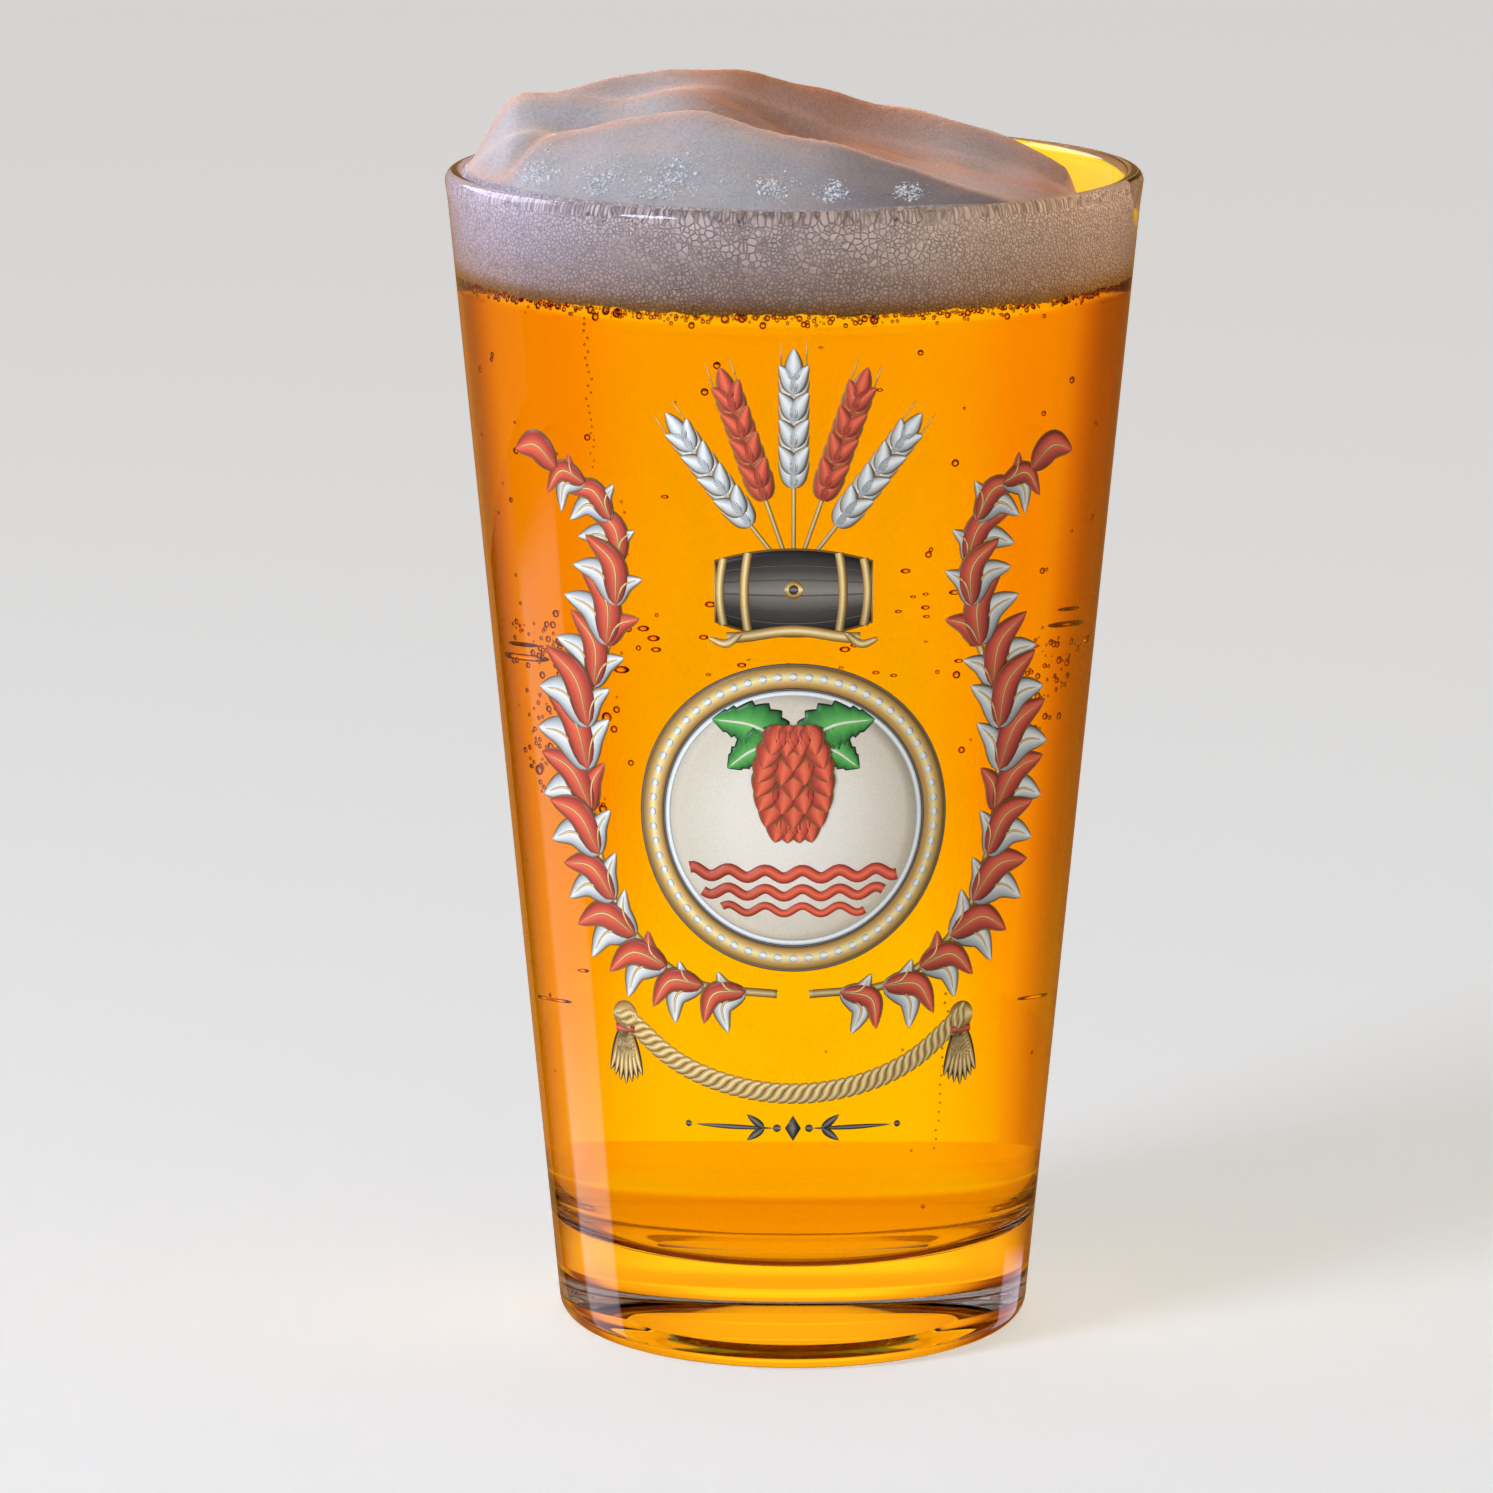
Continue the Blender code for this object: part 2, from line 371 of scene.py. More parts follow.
@dataclass(frozen=True)
class BeerFoam:
    """Wet beer foam: satin and close on top, and a net of pressed cells where it stands against the glass."""

    top: str = "#CBCED4"
    side: str = "#EBDFDE"  # light that bounces inside the glass's wall makes the side look darker than this
    # Painted light on the side: violet-white on the left and gold on the right
    side_lit_left: str = "#F6EEFC"
    side_lit_right: str = "#DDC9BD"
    # Painted warm light on the top: the crests of the folds, the right end and the left flank, as if lit from behind
    warm: str = "#DCA680"
    # Painted shade in the valley behind the front fold and in the hollow
    deep: str = "#96582A"
    dim: str = "#585258"  # away from the light
    steeped: str = "#B8823A"  # the lowest cells, with beer between them, and painted amber light that comes through the beer
    fine_cell: float = 0.52 * MM
    coarse_cell: float = 0.8 * MM
    froth: float = 0.42 * MM  # real froth is finer still; this is as fine as the picture shows

    def masks(self, tree: bpy.types.NodeTree) -> dict[str, bpy.types.NodeSocket]:
        """Reads the values that the head's mesh carries."""
        names = ("wall", "warmth", "depth", "dim", "coarse", "steeped", "wet", "collar", "left", "right")
        return {
            name: add_node(tree, "ShaderNodeAttribute", {"attribute_name": name}).outputs["Fac"]
            for name in names
        }

    def pressed_cells(self, tree: bpy.types.NodeTree, place: Any, coarse: Any) -> tuple[Any, Any]:
        """Draws the cells that the glass presses flat.

        Args:
            tree: the material's tree.
            place: the coordinates.
            coarse: where the large cells are.

        Returns:
            The height of the cells over their seams, and their brightness.
        """
        nets: list[tuple[Any, Any]] = []
        for size, soft in ((self.fine_cell, 0.22), (self.coarse_cell, 0.15)):
            edge = add_node(
                tree, "ShaderNodeTexVoronoi", {"feature": "DISTANCE_TO_EDGE"},
                {"Vector": place, "Scale": 1 / size},
            )
            seam = add_node(
                tree, "ShaderNodeMapRange", {"interpolation_type": "SMOOTHSTEP"},
                {"Value": edge, "From Min": 0.0, "From Max": soft},
            )
            cell = add_node(tree, "ShaderNodeTexVoronoi", inputs={"Vector": place, "Scale": 1 / size})
            nets.append((seam, add_node(
                tree, "ShaderNodeSeparateColor", inputs={"Color": cell.outputs["Color"]}
            )))
        seam, tone = (add_node(tree, "ShaderNodeMix", inputs={0: coarse, 2: fine, 3: large})
                      for fine, large in zip(*nets))
        lit = add_node(tree, "ShaderNodeMath", {"operation": "MULTIPLY_ADD"}, {0: tone, 1: 0.14, 2: 0.92})
        # The seams are painted darker, as painted shade between the pressed cells
        shade = add_node(tree, "ShaderNodeMapRange", inputs={"Value": seam, "To Min": 0.58, "To Max": 1.0})
        return seam, add_node(tree, "ShaderNodeMath", {"operation": "MULTIPLY"}, {0: lit, 1: shade})

    def streaks(self, tree: bpy.types.NodeTree, place: Any, collar: Any) -> Any:
        """Paints short upright streaks on the wall under the rim, for the rounded rim's refraction of the foam, and
        lightens that band a little.
        """
        drawn = add_node(
            tree, "ShaderNodeMapping", inputs={"Vector": place, "Scale": (2400.0, 2400.0, 260.0)}
        )
        noise = add_node(tree, "ShaderNodeTexNoise", inputs={"Vector": drawn, "Scale": 1.0, "Detail": 1.0})
        refracted_streak = add_node(
            tree, "ShaderNodeMapRange", {"interpolation_type": "SMOOTHSTEP"},
            {"Value": noise, "From Min": 0.56, "From Max": 0.7, "To Min": 0.0, "To Max": 0.34},
        )
        there = add_node(tree, "ShaderNodeMath", {"operation": "MULTIPLY"}, {0: refracted_streak, 1: collar})
        dim = add_node(tree, "ShaderNodeMath", {"operation": "MULTIPLY_ADD"}, {0: collar, 1: 0.08, 2: 1.0})
        return add_node(tree, "ShaderNodeMath", {"operation": "SUBTRACT"}, {0: dim, 1: there})

    def material(self) -> bpy.types.Material:
        """Builds the material."""
        material, tree, out = new_material("wet_beer_foam")
        place = add_node(tree, "ShaderNodeTexCoord").outputs["Object"]
        mask = self.masks(tree)
        seam, cells = self.pressed_cells(tree, place, mask["coarse"])
        refracted_streak = self.streaks(tree, place, mask["collar"])
        side_shade = add_node(tree, "ShaderNodeMath", {"operation": "MULTIPLY"}, {0: cells, 1: refracted_streak})

        # Froth on top: grains with painted shade in the gaps between them, and slow mottling
        froth = add_node(
            tree, "ShaderNodeTexVoronoi", {"feature": "SMOOTH_F1"},
            {"Vector": place, "Scale": 1 / self.froth, "Smoothness": 0.4},
        )
        grain = add_node(
            tree, "ShaderNodeMapRange", inputs={"Value": froth, "From Min": 0.2, "From Max": 0.75,
                                                "To Min": 1.05, "To Max": 0.88},
        )
        mottle = add_node(
            tree, "ShaderNodeTexNoise", inputs={"Vector": place, "Scale": 420.0, "Detail": 4.0, "Roughness": 0.65}
        )
        patch = add_node(
            tree, "ShaderNodeMapRange", inputs={"Value": mottle, "From Min": 0.3, "From Max": 0.7,
                                                "To Min": 0.96, "To Max": 1.03},
        )
        top_shade = add_node(tree, "ShaderNodeMath", {"operation": "MULTIPLY"}, {0: grain, 1: patch})
        uneven = add_node(
            tree, "ShaderNodeTexNoise", inputs={"Vector": place, "Scale": 260.0, "Detail": 3.0, "Roughness": 0.6}
        )
        blotch = add_node(
            tree, "ShaderNodeMapRange", inputs={"Value": uneven, "From Min": 0.35, "From Max": 0.65,
                                                "To Min": 0.7, "To Max": 1.2},
        )
        # The painted warm light is made stronger or weaker at random
        mask["warmth"] = add_node(
            tree, "ShaderNodeMath", {"operation": "MULTIPLY", "use_clamp": True}, {0: mask["warmth"], 1: blotch}
        )
        shading = add_node(tree, "ShaderNodeMix", inputs={0: mask["wall"], 2: top_shade, 3: side_shade})

        base: Any = linear(self.top)
        for name, code in (("wall", self.side), ("left", self.side_lit_left), ("right", self.side_lit_right),
                           ("warmth", self.warm), ("depth", self.deep), ("dim", self.dim), ("steeped", self.steeped)):
            base = add_node(
                tree, "ShaderNodeMix", {"data_type": "RGBA"}, {0: mask[name], 6: base, 7: linear(code)}
            ).outputs[2]
        colour = add_node(
            tree, "ShaderNodeMix", {"data_type": "RGBA", "blend_type": "MULTIPLY"},
            {0: 1.0, 6: base, 7: shading},
        ).outputs[2]

        beads = add_node(tree, "ShaderNodeMath", {"operation": "MULTIPLY"}, {0: froth, 1: -0.6})
        domes = add_node(tree, "ShaderNodeMath", {"operation": "MULTIPLY"}, {0: seam, 1: 2.2})
        height = add_node(tree, "ShaderNodeMix", inputs={0: mask["wall"], 2: beads, 3: domes})
        bump = add_node(
            tree, "ShaderNodeBump", inputs={"Strength": 0.9, "Distance": 0.13 * MM, "Height": height}
        )
        roughness = add_node(
            tree, "ShaderNodeMapRange", inputs={"Value": mask["wet"], "To Min": 0.58, "To Max": 0.22}
        )
        shader = add_node(
            tree, "ShaderNodeBsdfPrincipled",
            inputs={"Base Color": colour, "Roughness": roughness, "IOR": 1.34, "Normal": bump,
                    "Subsurface Weight": 0.3, "Subsurface Radius": (1.0, 0.75, 0.55),
                    "Subsurface Scale": 1.2 * MM},
        )
        tree.links.new(shader.outputs[0], out.inputs["Surface"])
        return material


@dataclass(frozen=True)
class BubbleFilm:
    """The wet skin of open bubbles on the foam: painted lighter than the foam, as a painted highlight, under a bright
    gloss.
    """

    colour: str = "#FFFFFF"

    def material(self) -> bpy.types.Material:
        """Builds the material."""
        material, tree, out = new_material("wet_bubble_film")
        place = add_node(tree, "ShaderNodeTexCoord").outputs["Object"]
        cloud = add_node(
            tree, "ShaderNodeTexNoise", inputs={"Vector": place, "Scale": 1200.0, "Detail": 1.0}
        )
        tint = add_node(
            tree, "ShaderNodeValToRGB", inputs={"Fac": cloud}, stops=((0.3, "#E8ECF2"), (0.7, self.colour))
        )
        shader = add_node(
            tree, "ShaderNodeBsdfPrincipled",
            inputs={"Base Color": tint, "Roughness": 0.1, "IOR": 1.45, "Coat Weight": 0.6,
                    "Coat Roughness": 0.05},
        )
        tree.links.new(shader.outputs[0], out.inputs["Surface"])
        return material


class Ink(Enum):
    """The enamels of the print, each with its colours from one edge of a stroke to the other."""

    GOLD = ("#7A5424", "#C3994C", "#F1DFA3", "#CDA155", "#8A6029")
    RED = ("#94302A", "#CB4A33", "#EE7049", "#D85338", "#9C352C")
    SILVER = ("#8D9497", "#C6C9C6", "#EFEEE8", "#D4D5D0", "#989EA0")
    CREAM = ("#CFC3AC", "#DAD0BC", "#E3DACA", "#E6DECF", "#E8E1D3")
    GREEN = ("#2C6B31", "#48A047", "#6CC05C", "#4A9C47", "#2F7434")
    CHARCOAL = ("#25221F", "#4A453F", "#8B8377", "#4E4942", "#262320")


@dataclass(frozen=True)
class GlassEnamel:
    """Screen-printed and fired glass enamel: opaque, satin, and very slightly raised."""

    ink: Ink
    grain: float = 0.3 * MM  # of the frit; the real one is finer than the picture shows

    def material(self) -> bpy.types.Material:
        """Builds the material."""
        material, tree, out = new_material("glass_enamel_" + self.ink.name.lower())
        place = add_node(tree, "ShaderNodeTexCoord").outputs["Object"]
        stroke = add_node(tree, "ShaderNodeUVMap", {"uv_map": "stroke"})
        axes = add_node(tree, "ShaderNodeSeparateXYZ", inputs={"Vector": stroke})
        tone = add_node(tree, "ShaderNodeAttribute", {"attribute_name": "tone"}).outputs["Fac"]
        places = (0.0, 0.27, 0.52, 0.76, 1.0)
        across = add_node(
            tree, "ShaderNodeValToRGB", {}, {"Fac": axes.outputs["Y"]}, stops=list(zip(places, self.ink.value))
        )
        # A stroke is drawn darker where it starts, as if it came from under its neighbour.
        along = add_node(
            tree, "ShaderNodeMapRange", {"interpolation_type": "SMOOTHSTEP"},
            {"Value": axes.outputs["X"], "From Min": 0.0, "From Max": 0.55, "To Min": 0.72, "To Max": 1.04},
        )
        frit = add_node(
            tree, "ShaderNodeTexNoise", inputs={"Vector": place, "Scale": 1 / self.grain, "Detail": 2.0}
        )
        grainy = add_node(
            tree, "ShaderNodeMapRange", inputs={"Value": frit, "From Min": 0.3, "From Max": 0.7,
                                                "To Min": 0.95, "To Max": 1.04},
        )
        light = add_node(tree, "ShaderNodeMath", {"operation": "MULTIPLY"}, {0: along, 1: grainy})
        toned = add_node(tree, "ShaderNodeMath", {"operation": "MULTIPLY_ADD"}, {0: tone, 1: 0.24, 2: 1.12})
        shade = add_node(tree, "ShaderNodeMath", {"operation": "MULTIPLY"}, {0: light, 1: toned})
        colour = add_node(
            tree, "ShaderNodeMix", {"data_type": "RGBA", "blend_type": "MULTIPLY"},
            {0: 1.0, 6: across, 7: shade},
        ).outputs[2]
        bump = add_node(
            tree, "ShaderNodeBump", inputs={"Strength": 0.2, "Distance": 0.02 * MM, "Height": frit}
        )
        shader = add_node(
            tree, "ShaderNodeBsdfPrincipled",
            inputs={"Base Color": colour, "Roughness": 0.42, "IOR": 1.5, "Normal": bump},
        )
        tree.links.new(shader.outputs[0], out.inputs["Surface"])
        return material


@dataclass(frozen=True)
class StudioPaper:
    """Matt background paper: pale, with a tooth that only shows close up."""

    colour: str = "#F1EFEC"
    tooth: float = 0.8 * MM
    glow: float = 0.5  # the paper lies on a light table

    def material(self) -> bpy.types.Material:
        """Builds the material."""
        material, tree, out = new_material("background_paper")
        place = add_node(tree, "ShaderNodeTexCoord").outputs["Object"]
        fibre = add_node(
            tree, "ShaderNodeTexNoise", inputs={"Vector": place, "Scale": 1 / self.tooth, "Detail": 3.0}
        )
        bump = add_node(
            tree, "ShaderNodeBump", inputs={"Strength": 0.1, "Distance": 0.02 * MM, "Height": fibre}
        )
        shader = add_node(
            tree, "ShaderNodeBsdfPrincipled",
            inputs={"Base Color": linear(self.colour), "Roughness": 0.75, "Normal": bump,
                    "Specular IOR Level": 0.0, "Emission Color": linear(self.colour),
                    "Emission Strength": self.glow},
        )
        tree.links.new(shader.outputs[0], out.inputs["Surface"])
        return material


# The glass and what fills it


@dataclass
class PintGlass:
    """The tapered glass, with the radii that the drink, the bubbles and the print need too."""

    rim_height: float = 149.2 * MM
    rim_radius: float = 44.1 * MM
    foot_radius: float = 30.0 * MM
    rim_wall: float = 2.6 * MM
    base_wall: float = 4.4 * MM
    base_thickness: float = 13.0 * MM
    floor_dish: float = 0.8 * MM
    foot_round: float = 3.0 * MM
    floor_round: float = 5.5 * MM
    standing_ring: float = 1.8 * MM
    recess_depth: float = 1.0 * MM
    recess_slope: float = 2.2 * MM
    punt_radius: float = 14.0 * MM
    punt_depth: float = 0.4 * MM
    segments: int = 256
    step: float = 3.0 * MM  # between points up the straight sides

    @property
    def slope(self) -> float:
        """How much the outside widens for each metre of height."""
        return (self.rim_radius - self.foot_radius) / self.rim_height

    def outer(self, z: Any) -> Any:
        """Outside radius at height z."""
        return self.foot_radius + self.slope * z

    def inner(self, z: Any) -> Any:
        """Inside radius of the wall at height z."""
        share = (z - self.base_thickness) / (self.rim_height - self.base_thickness)
        return self.outer(z) - self.base_wall - (self.rim_wall - self.base_wall) * share

    @staticmethod
    def arc(centre: tuple[float, float], radius: float, start: float, end: float, steps: int) -> list:
        """Points on an arc, as radius and height.

        Args:
            centre: radius and height of the arc's centre.
            radius: the arc's radius.
            start: angle of its first point in degrees, from pointing outwards.
            end: angle of its last point.
            steps: how many stretches it has.

        Returns:
            The points, both ends included.
        """
        angles = np.radians(np.linspace(start, end, steps + 1))
        return [(centre[0] + radius * math.cos(a), centre[1] + radius * math.sin(a)) for a in angles]

    def lean(self, radius_at: Any) -> float:
        """How far a straight side leans out from upright, in degrees."""
        rise = self.rim_height - self.base_thickness
        return math.degrees(math.atan2(radius_at(self.rim_height) - radius_at(self.base_thickness), rise))

    def cup(self, reach: float, top: float, lift: float = 0.0) -> list:
        """The outline of the inside, from the middle of the floor out and up to a height.

        Args:
            reach: how far outside the inner wall the outline runs.
            top: the height that it ends at.
            lift: how far above the glass's floor it runs.

        Returns:
            Points of radius and height.
        """
        def side(z: float) -> float:
            """Radius of the outline's side at height z."""
            return self.inner(z) + reach

        floor = self.base_thickness + lift
        centre_z = floor + self.floor_round
        lean = self.lean(side)
        centre_r = side(centre_z) - self.floor_round / math.cos(math.radians(lean))
        corner = self.arc((centre_r, centre_z), self.floor_round, -90, -lean, 12)
        edge = corner[0][0]
        shares = np.linspace(0, 1, 9)[:-1]
        dish = [(edge * s, floor - self.floor_dish * (1 - s * s)) for s in shares]
        count = int((top - corner[-1][1]) / self.step)
        heights = np.linspace(corner[-1][1], top, count + 1)[1:]
        return dish + corner + [(side(z), z) for z in heights]

    def outline(self) -> list:
        """The glass's section from the middle of the underside, up the outside and down the inside."""
        lean = self.lean(self.outer)
        foot_r = self.outer(self.foot_round) - self.foot_round / math.cos(math.radians(lean))
        ring = foot_r - self.standing_ring
        recess = ring - self.recess_slope
        ease = np.linspace(0, 1, 9)
        shoulder = [
            (recess + self.recess_slope * s, self.recess_depth * (1 - float(ramp(s, 0.0, 1.0)))) for s in ease
        ]
        under = [
            (0.0, self.recess_depth + self.punt_depth),
            (self.punt_radius - self.punt_depth, self.recess_depth + self.punt_depth),
            (self.punt_radius - self.punt_depth * 0.4, self.recess_depth + self.punt_depth * 0.8),
            (self.punt_radius, self.recess_depth),
        ]
        foot = self.arc((foot_r, self.foot_round), self.foot_round, -90, -lean, 10)
        rim_round = self.rim_wall / 2
        rim_z = self.rim_height - rim_round
        count = int((rim_z - foot[-1][1]) / self.step)
        side = [(self.outer(z), z) for z in np.linspace(foot[-1][1], rim_z, count + 1)[1:-1]]
        rim = self.arc((self.rim_radius - rim_round, rim_z), rim_round, 0, 180, 20)
        inside = self.cup(0.0, rim_z - 0.5 * MM)
        return under + shoulder + foot + side + rim + list(reversed(inside))

    def turned(self, name: str, outline: list, material: bpy.types.Material) -> bpy.types.Object:
        """Turns an outline round the upright axis.

        Args:
            name: the name of the piece.
            outline: points of radius and height, from the axis back to the axis.
            material: what it is made of.

        Returns:
            The piece.
        """
        tree, start, end = new_geometry_tree(
            "turn_an_outline", {"Segments": "NodeSocketInt", "Material": "NodeSocketMaterial"}
        )
        count = add_node(
            tree, "GeometryNodeAttributeDomainSize", inputs={"Geometry": start.outputs["Geometry"]}
        ).outputs["Point Count"]
        columns = add_node(tree, "ShaderNodeMath", {"operation": "ADD"}, {0: start.outputs["Segments"], 1: 1.0})
        grid = add_node(tree, "GeometryNodeMeshGrid", inputs={"Vertices X": columns, "Vertices Y": count})
        index = add_node(tree, "GeometryNodeInputIndex")
        middle = add_node(tree, "ShaderNodeMath", {"operation": "ADD"}, {0: index, 1: 0.5})
        turns = add_node(tree, "ShaderNodeMath", {"operation": "DIVIDE"}, {0: middle, 1: count})
        column = add_node(tree, "ShaderNodeMath", {"operation": "FLOOR"}, {0: turns})
        row = add_node(tree, "ShaderNodeMath", {"operation": "MODULO"}, {0: index, 1: count})
        sample = add_node(
            tree, "GeometryNodeSampleIndex", {"data_type": "FLOAT_VECTOR"},
            {"Geometry": start.outputs["Geometry"], "Value": add_node(tree, "GeometryNodeInputPosition"),
             "Index": row},
        )
        flat = add_node(tree, "ShaderNodeSeparateXYZ", inputs={0: sample})
        share = add_node(
            tree, "ShaderNodeMath", {"operation": "DIVIDE"}, {0: column, 1: start.outputs["Segments"]}
        )
        angle = add_node(tree, "ShaderNodeMath", {"operation": "MULTIPLY"}, {0: share, 1: FULL_TURN})
        sides = []
        for operation in ("COSINE", "SINE"):
            part = add_node(tree, "ShaderNodeMath", {"operation": operation}, {0: angle})
            sides.append(
                add_node(tree, "ShaderNodeMath", {"operation": "MULTIPLY"}, {0: part, 1: flat.outputs["X"]})
            )
        place = add_node(
            tree, "ShaderNodeCombineXYZ", inputs={"X": sides[0], "Y": sides[1], "Z": flat.outputs["Z"]}
        )
        moved = add_node(tree, "GeometryNodeSetPosition", inputs={"Geometry": grid, "Position": place})
        merged = add_node(
            tree, "GeometryNodeMergeByDistance", inputs={"Geometry": moved, "Distance": 0.001 * MM}
        )
        end_geometry_tree(tree, start, end, merged)
        points = [(r, 0.0, z) for r, z in outline]
        edges = [(i, i + 1) for i in range(len(points) - 1)]
        mesh = mesh_of(name + "_outline", np.array(points), edges=edges)
        return run_tree(name, mesh, tree, {"Segments": self.segments, "Material": material})

    def build(self) -> bpy.types.Object:
        """Makes the glass and puts it in the frame."""
        piece = self.turned("pint_glass", self.outline(), SodaLimeGlass().material())
        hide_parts("glass")
        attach(piece, "root")
        return piece


@dataclass
class Beer:
    """The beer, which reaches just into the glass's wall and floor."""

    glass: PintGlass
    level: float = 136.9 * MM  # a little way up inside the foam
    reach: float = 0.12 * MM

    def build(self) -> bpy.types.Object:
        """Makes the beer and puts it in the frame."""
        outline = self.glass.cup(self.reach, self.level, -self.reach)
        outline.append((self.glass.inner(self.level) * 0.5, self.level))
        outline.append((0.0, self.level))
        piece = self.glass.turned("amber_beer", outline, AmberBeer().material())
        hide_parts("beer")
        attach(piece, "root")
        return piece


@dataclass(frozen=True)
class HeadLine:
    """A line across the head's top, from left to right.

    Each station is x in mm, the share of the half chord at that x (-1 at the front wall and 1 at the
    back wall) and the height above the rim in mm. crease is the steepness of the top beside the line.
    """

    crease: float
    stations: tuple[tuple[float, float, float], ...]

    def at(self, x: Points) -> tuple[Points, Points]:
        """The share and the height of the line at x, both on a smooth curve through the stations."""
        stations = np.array(self.stations)
        xs = stations[:, 0]
        slopes = np.gradient(stations[:, 1:], xs, axis=0)
        i = np.clip(np.searchsorted(xs, x) - 1, 0, len(xs) - 2)
        span = xs[i + 1] - xs[i]
        step = np.clip((x - xs[i]) / span, 0.0, 1.0)
        share, height = (
            cubic(stations[i, k], stations[i + 1, k], span * slopes[i, k - 1], span * slopes[i + 1, k - 1], step)
            for k in (1, 2)
        )
        return np.clip(share, -1.0, 1.0), height


FRONT_WALL = HeadLine(1.2, (
    (-41, -1, 0.4), (0, -1, 0.2), (24, -1, -0.1), (31, -1, -1.2), (36, -1, -4.2), (41, -1, -7.0),
))
FRONT_FOLD = HeadLine(0.6, (
    (-41, -0.98, 0.5), (-36.5, -0.93, 1.0), (-32, -0.52, 4.9), (-25, -0.38, 7.0), (-11, -0.40, 9.1),
    (-3, -0.46, 7.4), (8, -0.55, 5.4), (17, -0.70, 2.9), (24, -0.87, 0.8), (30, -0.97, -1.0),
    (41, -0.98, -7.0),
))
FRONT_HOLLOW = HeadLine(0.0, (
    (-41, -0.5, 0.6), (-36.5, -0.48, 5.0), (-28, -0.26, 5.7), (-14, -0.22, 6.7), (-9, -0.24, 5.6),
    (-3, -0.28, 2.6), (8, -0.32, 0.8), (20, -0.42, -1.0), (30, -0.55, -2.4), (41, -0.5, -7.0),
))
MIDDLE_FOLD = HeadLine(0.5, (
    (-41, 0.0, 0.6), (-36.5, 0.0, 7.9), (-30, 0.02, 9.4), (-22, 0.04, 8.8), (-13, 0.08, 9.9),
    (-7, 0.06, 7.6), (0, 0.04, 4.2), (12, 0.02, 2.0), (24, 0.0, -0.6), (32, -0.1, -1.9), (41, 0.0, -7.0),
))
BACK_HOLLOW = HeadLine(0.1, (
    (-41, 0.2, 0.6), (-36.5, 0.14, 7.4), (-30, 0.12, 8.1), (-20, 0.16, 8.6), (-12, 0.18, 9.9),
    (-3, 0.17, 7.7), (7, 0.16, 4.0), (17, 0.18, 2.1), (25, 0.22, 0.1), (32, 0.2, -1.6), (41, 0.2, -7.0),
))
BACK_FOLD = HeadLine(0.3, (
    (-41, 0.4, 0.6), (-36.5, 0.3, 7.6), (-30, 0.26, 9.1), (-20, 0.32, 11.0), (-12, 0.35, 11.3),
    (-3, 0.38, 10.1), (7, 0.41, 7.4), (17, 0.46, 5.1), (24, 0.52, 3.2), (31, 0.54, 0.7), (35.5, 0.5, -1.8),
    (41, 0.5, -7.0),
))
BACK_WALL = HeadLine(1.4, (
    (-41, 1, 0.4), (0, 1, 0.3), (22, 1, 0.2), (30, 1, -1.4), (36, 1, -5.6), (41, 1, -7.0),
))
HEAD_LINES = (FRONT_WALL, FRONT_FOLD, FRONT_HOLLOW, MIDDLE_FOLD, BACK_HOLLOW, BACK_FOLD, BACK_WALL)


